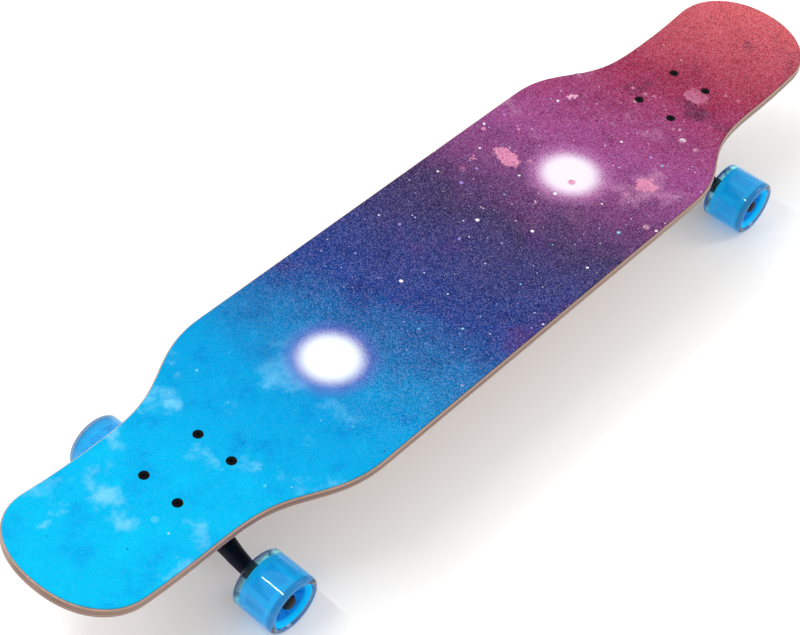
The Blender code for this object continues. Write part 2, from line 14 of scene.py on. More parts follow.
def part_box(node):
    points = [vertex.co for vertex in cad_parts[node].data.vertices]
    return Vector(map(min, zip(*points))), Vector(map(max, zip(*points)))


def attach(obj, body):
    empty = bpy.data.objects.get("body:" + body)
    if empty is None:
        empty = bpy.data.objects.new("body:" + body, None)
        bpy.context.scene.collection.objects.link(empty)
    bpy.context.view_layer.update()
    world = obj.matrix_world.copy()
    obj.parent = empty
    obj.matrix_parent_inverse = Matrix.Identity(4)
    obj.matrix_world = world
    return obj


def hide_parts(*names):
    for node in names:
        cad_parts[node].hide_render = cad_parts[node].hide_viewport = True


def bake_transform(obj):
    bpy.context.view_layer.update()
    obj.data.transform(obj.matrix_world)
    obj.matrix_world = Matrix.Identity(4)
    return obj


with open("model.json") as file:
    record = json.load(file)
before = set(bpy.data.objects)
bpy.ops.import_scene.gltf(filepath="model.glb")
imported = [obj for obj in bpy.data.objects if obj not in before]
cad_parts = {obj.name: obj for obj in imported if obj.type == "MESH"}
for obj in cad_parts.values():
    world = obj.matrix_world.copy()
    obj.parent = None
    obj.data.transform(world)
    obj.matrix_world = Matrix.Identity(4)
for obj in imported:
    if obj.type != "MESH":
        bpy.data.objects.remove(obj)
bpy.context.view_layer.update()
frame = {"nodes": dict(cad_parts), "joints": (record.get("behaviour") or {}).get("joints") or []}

bl_info = {
    "name": "Dance longboard",
    "version": (1, 0, 0),
    "blender": (4, 5, 0),
    "location": "3D View > Sidebar > Longboard",
    "description": "Builds the deck, print, bolts, trucks and wheels of a dance longboard",
    "category": "Object",
}

MM = 0.001
ENDS = ("front", "rear")
SIDES = ("left", "right")
JOINTS = {joint["name"]: joint for joint in frame["joints"]}

# ---- the pressed board's shape, as in the CAD ----------------------------------------------
HALF_LENGTH = 531.0 * MM          # along its skin
HALF_WIDTH = 116.5 * MM
NECK_HALF_WIDTH = 75.2 * MM
SHOULDER_START = 233.0 * MM
SHOULDER_END = 422.0 * MM
SHOULDER_SHARP = 1.53
SHOULDER_SOFT = 3.48
TIP_START = 472.0 * MM
TIP_SQUARE = 2.15
KICK_START = 408.0 * MM
KICK_RADIUS = 433.0 * MM
CONCAVE_FLAT = 30.0 * MM
CONCAVE_LIFT = 4.8 * MM
TOP_ROUND = 1.2 * MM
BOTTOM_ROUND = 2.6 * MM
GRIP_INSET = 1.6 * MM
GRIP_THICK = 0.8 * MM
DECK_THICK = 9.2 * MM
LAYER_GAP = 0.3 * MM

DECK_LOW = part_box("deck")[0].z
DECK_HIGH = DECK_LOW + DECK_THICK
GRIP_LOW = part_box("grip_tape")[0].z
GRIP_HIGH = GRIP_LOW + GRIP_THICK

# ---- the bolts, the wheels and what turns in them, as in the CAD -----------------------------
BOLT_SPACING = (63.5 * MM, 41.3 * MM)
BOLT_R = 2.4 * MM
BOLT_HEAD_R = 4.8 * MM
BOLT_HEAD_DEEP = 2.8 * MM
WHEEL_R = 30.0 * MM
WHEEL_HALF = 24.0 * MM
WHEEL_CORNER = 4.3 * MM
CORE_R = 22.4 * MM
CORE_HALF = 19.0 * MM
BEARING_R = 11.0 * MM
BEARING_WIDE = 7.0 * MM
BEARING_APART = 10.0 * MM
AXLE_R = 4.0 * MM
AXLE_HALF = 125.5 * MM
AXLE_NUT_R = 7.2 * MM
KINGPIN_R = 4.76 * MM
RING_HALF = 5.0 * MM
BUSHING_R = 12.5 * MM
BUSHING_TALL = 11.5 * MM
CONE_TALL = 10.0 * MM
WASHER_THICK = 1.5 * MM
NUT_TALL = 7.5 * MM
HOLE_GAP = 0.3 * MM                       # round each bolt, in the deck and the grip
CORE_INNER = CORE_HALF - 1.9 * MM         # the core's board-side end, short of the tyre's
WHEEL_CENTRE_X = abs(JOINTS["spin_front_left"]["pos_m"][0])
WHEEL_CENTRE_Y = abs(JOINTS["spin_front_left"]["pos_m"][1])

# ---- the stage -------------------------------------------------------------------------------
FLOOR_REACH = 6.0
FLOOR_DROP = 0.4 * MM
CAMERA_PLACE = (-0.9921, -0.6917, 1.3190)
CAMERA_TURN = (42.492, -3.501, -47.598)   # degrees
CAMERA_SHIFT = (0.0384, 0.0094)
# Name, place, width, length, watts, whether it shows as a highlight.
LIGHTS = (
    ("key softbox", (-0.4, 2.1, 2.3), 1.5, 1.5, 34.0, False),
    ("side softbox", (1.9, -1.3, 1.7), 1.2, 0.6, 12.0, True),
    ("glint strip", (-0.91, 0.61, 1.72), 0.022, 0.80, 9.0, True),
)


# ================================================================================================
# Sizes and colours
# ================================================================================================
def colour(name, description, value):
    return bpy.props.FloatVectorProperty(
        name=name, description=description, default=value, subtype="COLOR", size=3, min=0.0, max=1.0
    )


def length(name, description, value):
    return bpy.props.FloatProperty(
        name=name, description=description, default=value, min=0.0, unit="LENGTH", precision=5
    )


def share(name, description, value):
    return bpy.props.FloatProperty(
        name=name, description=description, default=value, min=0.0, max=1.0, subtype="FACTOR"
    )


class BoardSettings(bpy.types.PropertyGroup):
    """Veneers, print and bolts."""
    pale_ply: colour("Pale veneer", "Lightest veneer, at the top of the edge", (0.46, 0.29, 0.215))
    red_ply: colour("Red veneer", "Stained veneers in the middle of the edge", (0.130, 0.040, 0.027))
    tan_ply: colour("Tan veneer", "Veneers low in the edge and under the board", (0.33, 0.205, 0.140))
    grit_size: length("Grit", "Size of the grip's grains", 0.0008)
    grit_height: length("Grit height", "How far the grains stand up", 0.00022)
    print_density: share("Print density", "How much light the print gives back", 0.93)
    print_ragged: length("Ragged edge", "How far the print's washes wander", 0.030)
    drop_spacing: length("Drops apart", "Mean spacing of the larger drops", 0.034)
    star_spacing: length("Stars apart", "Mean spacing of the smallest dots", 0.017)
    bolt_colour: colour("Bolts", "Black oxide on the deck bolts", (0.010, 0.010, 0.012))
    bolt_twist: bpy.props.IntProperty(
        name="Bolt twist", description="Seed for how far each bolt is turned", default=4, min=0
    )


class TruckSettings(bpy.types.PropertyGroup):
    """Castings, steel and soft parts of the trucks."""
    casting: colour("Casting", "Paint on hangers and baseplates", (0.0008, 0.0050, 0.0150))
    steel: colour("Steel", "Plated nuts, washers and axles", (0.46, 0.47, 0.49))
    oxide: colour("Black steel", "Oxide on the kingpins", (0.020, 0.020, 0.023))
    bushing: colour("Bushings", "Urethane of the bushings", (0.010, 0.180, 0.480))
    rubber: colour("Rubber", "Risers and pivot cups", (0.013, 0.013, 0.014))
    voxel: length("Casting detail", "Grid on which the castings' edges are rounded", 0.0008)


class WheelSettings(bpy.types.PropertyGroup):
    """Wheels and bearings."""
    urethane: colour("Urethane", "Tint of the clear urethane", (0.26, 0.93, 1.00))
    clear_edge: colour("Urethane edge", "Tint where the urethane is thick", (0.22, 0.31, 0.46))
    core: colour("Core", "Moulded core", (0.000, 0.450, 0.900))
    # Colour of the painted shade in the core's windows and towards its hub.
    core_shade: colour("Core, deep", "Windows and hollows of the core", (0.000, 0.155, 0.520))
    shield: colour("Bearing shield", "Rubber seal of the bearings", (0.095, 0.012, 0.012))
    windows: bpy.props.IntProperty(
        name="Windows", description="Hollows round the core's barrel", default=9, min=3, max=24
    )
    ribs: bpy.props.IntProperty(
        name="Ribs", description="Ribs on each face of the core", default=9, min=3, max=24
    )
    window_deep: length("Window depth", "Depth of the core's hollows", 0.0009)


class StageSettings(bpy.types.PropertyGroup):
    """Floor, light and camera."""
    floor: colour("Floor", "Pale studio floor", (0.90, 0.90, 0.90))
    sky: share("Sky", "Strength of the even light", 0.80)
    lens: bpy.props.FloatProperty(
        name="Lens", description="Focal length", default=80.08, min=1.0, unit="CAMERA"
    )


# ================================================================================================
# Shader helpers
# ================================================================================================
class Wire:
    """A shader socket on which arithmetic can be written."""

    def __init__(self, finish, socket):
        self.finish = finish
        self.socket = socket

    def __add__(self, other):
        return self.finish.math("ADD", self, other)

    __radd__ = __add__

    def __sub__(self, other):
        return self.finish.math("SUBTRACT", self, other)

    def __rsub__(self, other):
        return self.finish.math("SUBTRACT", other, self)

    def __mul__(self, other):
        return self.finish.math("MULTIPLY", self, other)

    __rmul__ = __mul__

    def __truediv__(self, other):
        return self.finish.math("DIVIDE", self, other)


class Finish:
    """A material under construction."""

    def __init__(self, name):
        self.material = bpy.data.materials.new(name)
        self.material.use_nodes = True
        self.tree = self.material.node_tree
        self.tree.nodes.clear()

    def node(self, kind, sockets=None, output=0, stops=None, **settings):
        """Add a node: settings first, then socket values or links; gives one of its outputs."""
        made = self.tree.nodes.new(kind)
        for key, value in settings.items():
            setattr(made, key, value)
        if stops:
            ramp = made.color_ramp
            while len(ramp.elements) < len(stops):
                ramp.elements.new(1.0)
            for element, (place, tone) in zip(ramp.elements, stops):
                element.position = place
                element.color = (*tone, 1.0)
        for key, value in (sockets or {}).items():
            socket = made.inputs[key]
            if isinstance(value, Wire):
                self.tree.links.new(value.socket, socket)
            elif socket.type == "RGBA" and len(value) == 3:
                socket.default_value = (*value, 1.0)
            else:
                socket.default_value = value
        return Wire(self, made.outputs[output]) if len(made.outputs) else made

    def math(self, operation, first, second=0.0):
        return self.node("ShaderNodeMath", {0: first, 1: second}, operation=operation)

    def mix(self, factor, first, second, blend="MIX"):
        sockets = {0: factor, 6: first, 7: second}
        return self.node("ShaderNodeMix", sockets, 2, data_type="RGBA", blend_type=blend)

    def smooth(self, value, low, high, start=0.0, end=1.0):
        sockets = {0: value, 1: low, 2: high, 3: start, 4: end}
        return self.node("ShaderNodeMapRange", sockets, interpolation_type="SMOOTHSTEP")

    def ramp(self, value, stops, interpolation="LINEAR"):
        ramp = self.node("ShaderNodeValToRGB", {0: value}, stops=stops)
        ramp.socket.node.color_ramp.interpolation = interpolation
        return ramp

    def place(self):
        return self.node("ShaderNodeTexCoord", output=3)

    def split(self, vector):
        made = self.node("ShaderNodeSeparateXYZ", {0: vector}).socket.node
        return [Wire(self, made.outputs[i]) for i in range(3)]

    def vector(self, x, y, z=0.0):
        return self.node("ShaderNodeCombineXYZ", {0: x, 1: y, 2: z})

    def stretch(self, vector, scale):
        return self.node("ShaderNodeMapping", {"Vector": vector, "Scale": scale})

    def noise(self, vector, scale, detail=2.0, roughness=0.5, output=0):
        sockets = {"Vector": vector, "Scale": scale, "Detail": detail, "Roughness": roughness}
        return self.node("ShaderNodeTexNoise", sockets, output)

    def bump(self, height, strength, distance):
        sockets = {"Strength": strength, "Distance": distance, "Height": height}
        return self.node("ShaderNodeBump", sockets)

    def surface(self, **sockets):
        """Close the material with one Principled shader; names use _ for a space."""
        named = {key.replace("_", " "): value for key, value in sockets.items()}
        if "IOR" not in named:
            named["IOR"] = 1.5
        shader = self.node("ShaderNodeBsdfPrincipled", named)
        self.node("ShaderNodeOutputMaterial", {0: shader})
        return self.material


def wear(finish, base, shade, amount, scale):
    """A base colour with soft patches of a second tone."""
    patches = finish.noise(finish.place(), scale, 4.0, 0.6)
    return finish.mix(finish.smooth(patches, 0.45, 0.75) * amount, base, shade)


# ================================================================================================
# Mesh helpers
# ================================================================================================
def new_object(name, mesh):
    made = bpy.data.objects.new(name, mesh)
    bpy.context.scene.collection.objects.link(made)
    return made


def to_object(name, bm, material=None, sharp=40.0, matrix=None):
    """Turn a bmesh into an object whose place is in its mesh."""
    bmesh.ops.remove_doubles(bm, verts=bm.verts, dist=1e-7)
    if matrix is not None:
        bmesh.ops.transform(bm, matrix=matrix, verts=bm.verts)
    bmesh.ops.recalc_face_normals(bm, faces=bm.faces)
    mesh = bpy.data.meshes.new(name)
    bm.to_mesh(mesh)
    bm.free()
    mesh.shade_smooth()
    mesh.set_sharp_from_angle(angle=radians(sharp))
    if material is not None:
        mesh.materials.append(material)
    return new_object(name, mesh)


def drop(obj):
    mesh = obj.data
    bpy.data.objects.remove(obj, do_unlink=True)
    if mesh.users == 0:
        bpy.data.meshes.remove(mesh)


def baked(obj, name, sharp=40.0):
    """The object with its modifiers applied, as a plain mesh; the source is removed."""
    bpy.context.view_layer.update()
    depsgraph = bpy.context.evaluated_depsgraph_get()
    mesh = bpy.data.meshes.new_from_object(obj.evaluated_get(depsgraph), depsgraph=depsgraph)
    mesh.shade_smooth()
    mesh.set_sharp_from_angle(angle=radians(sharp))
    drop(obj)
    made = new_object(name, mesh)
    mesh.name = name
    return made


def even_angles(count):
    return [2 * pi * i / count for i in range(count)]


def lathe(bm, profile, angles, relief=None, closed=True):
    """Faces round the Y axis from (distance along it, radius) points.

    relief(along, radius, angle) may move a point; a radius of 0 closes an end at one vertex.
    """
    rings = []
    for along, radius in profile:
        if radius <= 0.0:
            rings.append([bm.verts.new((0.0, along, 0.0))])
            continue
        ring = []
        for angle in angles:
            y, r = relief(along, radius, angle) if relief else (along, radius)
            ring.append(bm.verts.new((r * sin(angle), y, r * cos(angle))))
        rings.append(ring)
    pairs = list(zip(rings, rings[1:]))
    if closed:
        pairs.append((rings[-1], rings[0]))
    count = len(angles)
    for a, b in pairs:
        for i in range(count):
            j = (i + 1) % count
            face = [a[i % len(a)], a[j % len(a)], b[j % len(b)], b[i % len(b)]]
            face = list(dict.fromkeys(face))
            if len(face) > 2:
                bm.faces.new(face)


def turned(name, profile, angles, material=None, sharp=30.0, matrix=None, relief=None, closed=True):
    """A piece turned on the lathe, as an object."""
    bm = bmesh.new()
    lathe(bm, profile, angles, relief, closed)
    return to_object(name, bm, material, sharp, matrix)


def cut_away(obj, cutter, name, sharp, use_self=False):
    """The object without what the cutter fills, as a plain mesh; the cutter is removed."""
    cut = obj.modifiers.new("cut", "BOOLEAN")
    cut.operation = "DIFFERENCE"
    cut.solver = "EXACT"
    cut.object = cutter
    cut.use_self = use_self
    made = baked(obj, name, sharp)
    drop(cutter)
    return made


def arc(centre, radius, start, end, steps):
    """Points of a fillet in a profile, as (along, radius) pairs."""
    points = []
    for i in range(steps + 1):
        angle = radians(start + (end - start) * i / steps)
        points.append((centre[0] + radius * sin(angle), centre[1] + radius * cos(angle)))
    return points


def hexagon(across):
    """Relief that clips a round profile to a six-sided one of that half-width across flats."""
    def relief(along, radius, angle):
        flat = across / cos((angle % (pi / 3)) - pi / 6)
        return along, min(radius, flat)
    return relief


HEX_ANGLES = sorted({round(a, 6) for a in even_angles(48)} | {round(pi / 3 * i, 6) for i in range(6)})


def thread(start, end, radius, pitch=1.0 * MM, deep=0.32 * MM):
    """Profile points of a threaded length, drawn as fine ridges."""
    points = []
    count = max(int(abs(end - start) / pitch), 1)
    step = (end - start) / count
    for i in range(count):
        low = start + step * i
        points += [(low, radius - deep), (low + step * 0.5, radius)]
    points.append((end, radius - deep))
    return points


def truck_turn(end):
    return Matrix.Identity(4) if end == "front" else Matrix.Rotation(pi, 4, "Z")


def kingpin_frame(end):
    """+Y along the kingpin to its nut, +Z along the steering axis, at the hanger ring's centre."""
    joint = JOINTS[f"steer_{end}"]
    up = Vector(joint["axis"]).normalized()
    across = truck_turn(end) @ Vector((0, 1, 0))
    along = across.cross(up)
    turn = Matrix((-across, along, up)).transposed().to_4x4()
    return Matrix.Translation(Vector(joint["pos_m"])) @ turn


def wheel_frame(end, side):
    """+Y outwards along the axle, at the wheel's centre."""
    place = Vector(JOINTS[f"spin_{end}_{side}"]["pos_m"])
    out = 0 if place.y > 0 else pi
    return Matrix.Translation(place) @ Matrix.Rotation(out, 4, "X")


# ---- node groups -------------------------------------------------------------------------------
def group(name, inputs):
    """An empty geometry node group with a geometry in and out and the named inputs."""
    tree = bpy.data.node_groups.new(name, "GeometryNodeTree")
    tree.interface.new_socket("Geometry", in_out="INPUT", socket_type="NodeSocketGeometry")
    for label, kind, value in inputs:
        socket = tree.interface.new_socket(label, in_out="INPUT", socket_type=kind)
        if value is not None:
            socket.default_value = value
    tree.interface.new_socket("Geometry", in_out="OUTPUT", socket_type="NodeSocketGeometry")
    return tree


def add(tree, kind, sockets=None, **settings):
    made = tree.nodes.new(kind)
    for key, value in settings.items():
        setattr(made, key, value)
    for key, value in (sockets or {}).items():
        if isinstance(value, bpy.types.NodeSocket):
            tree.links.new(value, made.inputs[key])
        else:
            made.inputs[key].default_value = value
    return made


def apply_group(obj, tree, values):
    """Put a node group on an object, with its inputs set by identifier."""
    modifier = obj.modifiers.new(tree.name, "NODES")
    modifier.node_group = tree
    for item in tree.interface.items_tree:
        if item.in_out == "INPUT" and item.name in values:
            modifier[item.identifier] = values[item.name]


def bolt_pattern_tree():
    """Copies of one bolt at both trucks' patterns, each turned by a random amount."""
    tree = group("bolt pattern", [
        ("Bolt", "NodeSocketObject", None),
        ("Wheelbase", "NodeSocketFloat", 0.71),
        ("Spacing X", "NodeSocketFloat", BOLT_SPACING[0]),
        ("Spacing Y", "NodeSocketFloat", BOLT_SPACING[1]),
        ("Seed", "NodeSocketInt", 0),
        ("Material", "NodeSocketMaterial", None),
    ])
    given = add(tree, "NodeGroupInput").outputs
    half = add(tree, "ShaderNodeMath", {0: given["Wheelbase"], 1: -0.5}, operation="MULTIPLY")
    start = add(tree, "ShaderNodeCombineXYZ", {0: half.outputs[0]})
    step = add(tree, "ShaderNodeCombineXYZ", {0: given["Wheelbase"]})
    line = add(tree, "GeometryNodeMeshLine", {
        "Count": 2, "Start Location": start.outputs[0], "Offset": step.outputs[0],
    })
    grid = add(tree, "GeometryNodeMeshGrid", {
        "Size X": given["Spacing X"], "Size Y": given["Spacing Y"], "Vertices X": 2, "Vertices Y": 2,
    })
    patterns = add(tree, "GeometryNodeInstanceOnPoints", {
        "Points": line.outputs[0], "Instance": grid.outputs[0],
    })
    places = add(tree, "GeometryNodeRealizeInstances", {0: patterns.outputs[0]})
    bolt = add(tree, "GeometryNodeObjectInfo", {"Object": given["Bolt"], "As Instance": True})
    twist = add(tree, "FunctionNodeRandomValue", {2: 0.0, 3: 2 * pi, "Seed": given["Seed"]})
    turn = add(tree, "ShaderNodeCombineXYZ", {2: twist.outputs[1]})
    bolts = add(tree, "GeometryNodeInstanceOnPoints", {
        "Points": places.outputs[0], "Instance": bolt.outputs["Geometry"], "Rotation": turn.outputs[0],
    })
    whole = add(tree, "GeometryNodeRealizeInstances", {0: bolts.outputs[0]})
    painted = add(tree, "GeometryNodeSetMaterial", {0: whole.outputs[0], "Material": given["Material"]})
    add(tree, "NodeGroupOutput", {0: painted.outputs[0]})
    return tree


def rib_tree():
    """Copies of one rib round the wheel's axle, joined to the core that they stand on."""
    tree = group("core ribs", [
        ("Rib", "NodeSocketObject", None),
        ("Count", "NodeSocketInt", 9),
        ("Centre", "NodeSocketVector", None),
        ("Material", "NodeSocketMaterial", None),
    ])
    given = add(tree, "NodeGroupInput").outputs
    line = add(tree, "GeometryNodeMeshLine", {
        "Count": given["Count"], "Start Location": given["Centre"], "Offset": (0.0, 0.0, 0.0),
    })
    step = add(tree, "ShaderNodeMath", {0: 2 * pi, 1: given["Count"]}, operation="DIVIDE")
    index = add(tree, "GeometryNodeInputIndex")
    angle = add(tree, "ShaderNodeMath", {0: index.outputs[0], 1: step.outputs[0]}, operation="MULTIPLY")
    turn = add(tree, "ShaderNodeCombineXYZ", {1: angle.outputs[0]})
    rib = add(tree, "GeometryNodeObjectInfo", {"Object": given["Rib"], "As Instance": True})
    ribs = add(tree, "GeometryNodeInstanceOnPoints", {
        "Points": line.outputs[0], "Instance": rib.outputs["Geometry"], "Rotation": turn.outputs[0],
    })
    joined = add(tree, "GeometryNodeJoinGeometry")
    tree.links.new(ribs.outputs[0], joined.inputs[0])
    tree.links.new(given["Geometry"], joined.inputs[0])
    whole = add(tree, "GeometryNodeRealizeInstances", {0: joined.outputs[0]})
    painted = add(tree, "GeometryNodeSetMaterial", {0: whole.outputs[0], "Material": given["Material"]})
    add(tree, "NodeGroupOutput", {0: painted.outputs[0]})
    return tree


# ================================================================================================
# Finishes
# ================================================================================================
def layer_depth(finish, top):
    """Depth below the board's upper face, followed round the kicks and the concave."""
    x, y, z = finish.split(finish.place())
    along = finish.math("MAXIMUM", finish.math("ABSOLUTE", x) - KICK_START, 0.0)
    down = (KICK_RADIUS + top) - z
    reach = finish.math("SQRT", along * along + down * down)
    aside = finish.math("MAXIMUM", finish.math("ABSOLUTE", y) - CONCAVE_FLAT, 0.0)
    lift = aside * aside * (CONCAVE_LIFT / (HALF_WIDTH - CONCAVE_FLAT) ** 2)
    return reach - KICK_RADIUS + lift


def maple_finish(look):
    """Seven veneers seen at the edge, with long grain on the faces."""
    finish = Finish("pressed_maple")
    place = finish.place()
    depth = layer_depth(finish, DECK_HIGH) / DECK_THICK
    ragged = (finish.noise(finish.stretch(place, (30, 30, 200)), 1.0, 3.0) - 0.5) * 0.05
    pale, red, tan = look.pale_ply, look.red_ply, look.tan_ply
    dark = [c * 0.55 for c in red]
    mid = [(a + b) / 2 for a, b in zip(red, tan)]
    low = [(a + b) / 2 for a, b in zip(pale, tan)]
    plies = (pale, red, mid, red, low, red, tan)
    stops = []
    for i, tone in enumerate(plies):
        start, stop = i / len(plies), (i + 1) / len(plies)
        stops += [(start + 0.012, tone), (stop - 0.020, tone)]
        if 0 < i < len(plies) - 1:
            stops.append((stop - 0.004, dark))
    stops.sort()
    veneer = finish.ramp(depth + ragged, stops)
    long_grain = finish.stretch(place, (5, 210, 60))
    grain = finish.noise(long_grain, 1.0, 6.0, 0.62)
    pores = finish.noise(finish.stretch(place, (26, 900, 300)), 1.0, 3.0, 0.6)
    figure = finish.noise(finish.stretch(place, (3, 26, 10)), 1.0, 2.0, 0.5)
    toned = finish.mix(finish.smooth(grain, 0.35, 0.75) * 0.55, veneer, [c * 0.62 for c in tan])
    toned = finish.mix(finish.smooth(pores, 0.60, 0.72) * 0.45, toned, dark)
    toned = finish.mix(finish.smooth(figure, 0.40, 0.70) * 0.30, toned, pale)
    gloss = 0.36 + finish.smooth(grain, 0.2, 0.8) * 0.16
    relief = finish.bump(grain * 0.6 + pores * 0.4, 0.35, 0.00025)
    return finish.surface(
        Base_Color=toned, Roughness=gloss, Normal=relief, Coat_Weight=0.25, Coat_Roughness=0.25
    )


# The print's washes from the rear tip to the front one, evenly spaced along the board.
CYAN = (0.001, 0.475, 0.790)
SKY = (0.001, 0.440, 0.770)
AZURE = (0.001, 0.300, 0.640)
NAVY = (0.014, 0.050, 0.250)
INK = (0.046, 0.032, 0.110)
MAGENTA = (0.330, 0.068, 0.240)
CRIMSON = (0.330, 0.026, 0.072)
CORAL = (0.660, 0.120, 0.130)
PRINT_WASHES = (CYAN, SKY, AZURE, NAVY, INK, MAGENTA, CRIMSON, CORAL)
PRINT_LENGTH = 1.06
PRINT_SLANT = 0.25
GLOW_PLACE = PRINT_LENGTH / 6
GLOW_R = 0.030


class Print:
    """The printed picture, painted wash over wash in the board's own metres."""

    def __init__(self, finish, look):
        self.finish = finish
        self.look = look
        place = finish.place()
        self.x, self.y, _ = finish.split(place)
        self.flat = finish.vector(self.x, self.y)
        coarse = finish.split(finish.noise(self.flat, 16.0, 3.0, 0.62, output=1))
        fine = finish.split(finish.noise(self.flat, 90.0, 3.0, 0.62, output=1))
        self.coarse = [wave - 0.5 for wave in coarse[:2]]
        self.fine = [wave - 0.5 for wave in fine[:2]]
        self.tone = None

    def distance(self, x, y, radius):
        """Distance from a place in units of a radius."""
        dx = (self.x - x) / radius
        dy = (self.y - y) / radius
        return self.finish.math("SQRT", dx * dx + dy * dy)

    def paint(self, mask, tone, blend="MIX"):
        self.tone = self.finish.mix(mask, self.tone, tone, blend)

    def washes(self):
        finish = self.finish
        wander = self.coarse[0] * (3.2 * self.look.print_ragged) + self.fine[0] * self.look.print_ragged
        place = self.x + self.y * PRINT_SLANT + wander
        last = len(PRINT_WASHES) - 1
        stops = [(i / last, tone) for i, tone in enumerate(PRINT_WASHES)]
        self.tone = finish.ramp(place / PRINT_LENGTH + 0.5, stops)
        cloud = finish.noise(self.flat, 26.0, 6.0, 0.66)
        self.paint(finish.smooth(cloud, 0.52, 0.75) * 0.30, (0.92, 0.92, 1.0), "SOFT_LIGHT")
        self.paint(finish.smooth(cloud, 0.50, 0.28) * 0.45, (0.05, 0.04, 0.10), "SOFT_LIGHT")

    def clouds(self, where, tone, strength, shift):
        """Ragged clouds of one colour, placed by noise alone."""
        finish = self.finish
        cloud = finish.noise(finish.vector(self.x + shift, self.y), 11.0, 5.0, 0.62)
        self.paint(finish.smooth(cloud, 0.54, 0.66) * where * strength, tone)

    def glow(self, x, y, size, core, halo):
        """A soft white glow with a coloured halo."""
        reach = self.distance(x, y, size)
        self.paint(self.finish.smooth(reach, 0.9, 1.75, 0.80, 0.0), halo)
        self.paint(self.finish.smooth(reach, 0.62, 1.28, 1.0, 0.0), core)

    def scatter(self, spacing, largest, where, tones, strength, power=2.0, ragged=0.0):
        """Drops of mixed sizes at random places, one for each cell of a jittered grid."""
        finish = self.finish
        place = finish.vector(self.x + self.fine[0] * ragged, self.y + self.fine[1] * ragged)
        sockets = {"Vector": place, "Scale": 1.0 / spacing, "Randomness": 1.0}
        cells = finish.node("ShaderNodeTexVoronoi", sockets, voronoi_dimensions="2D").socket.node
        reach = Wire(finish, cells.outputs["Distance"])
        chance = finish.split(Wire(finish, cells.outputs["Color"]))
        size = finish.math("POWER", chance[0], power) * (largest / spacing)
        drop_mask = finish.smooth(reach / size, 0.86, 1.10, 1.0, 0.0)
        self.paint(drop_mask * where * strength, finish.ramp(chance[1], tones, "CONSTANT"))

    def drops(self):
        finish = self.finish
        look = self.look
        middle = finish.smooth(self.x, -0.16, -0.05) * finish.smooth(self.x, 0.36, 0.26)
        pink = finish.smooth(self.x, 0.09, 0.13) * finish.smooth(self.x, 0.42, 0.32)
        warm = finish.smooth(self.x, 0.25, 0.30) * finish.smooth(self.x, 0.45, 0.36)
        cold = finish.smooth(self.x, -0.16, -0.24) * finish.smooth(self.x, -0.46, -0.38)
        cloud = finish.smooth(finish.noise(self.flat, 21.0, 2.0), 0.46, 0.60)
        white = (0.90, 0.84, 0.94)
        rose = (0.74, 0.26, 0.42)
        lilac = (0.36, 0.26, 0.66)
        aqua = (0.26, 0.66, 0.82)
        sky = (0.26, 0.72, 0.94)
        mixed = [(0.0, white), (0.35, lilac), (0.65, white), (0.80, aqua)]
        rosy = [(0.0, rose), (0.45, white), (0.60, rose), (0.85, (0.84, 0.46, 0.60))]
        self.scatter(look.drop_spacing * 2.2, 0.0130, pink, rosy, 0.90, 3.0, 0.030)
        self.scatter(look.drop_spacing, 0.0042, pink * cloud, rosy, 0.85)
        self.scatter(look.drop_spacing * 0.62, 0.0030, warm * cloud, rosy, 0.80)
        icy = [(0.0, sky), (0.6, (0.12, 0.60, 0.90))]
        self.scatter(look.drop_spacing * 1.5, 0.0044, cold, icy, 0.55, 2.5)
        self.scatter(look.star_spacing * 1.7, 0.0021, middle, mixed, 0.90)
        self.scatter(look.star_spacing, 0.0009, middle, mixed, 0.70)
        everywhere = finish.smooth(self.x, 0.46, 0.42)
        specks = [(0.0, (0.01, 0.03, 0.08)), (0.7, white)]
        self.scatter(look.star_spacing * 2.2, 0.0009, everywhere, specks, 0.7)


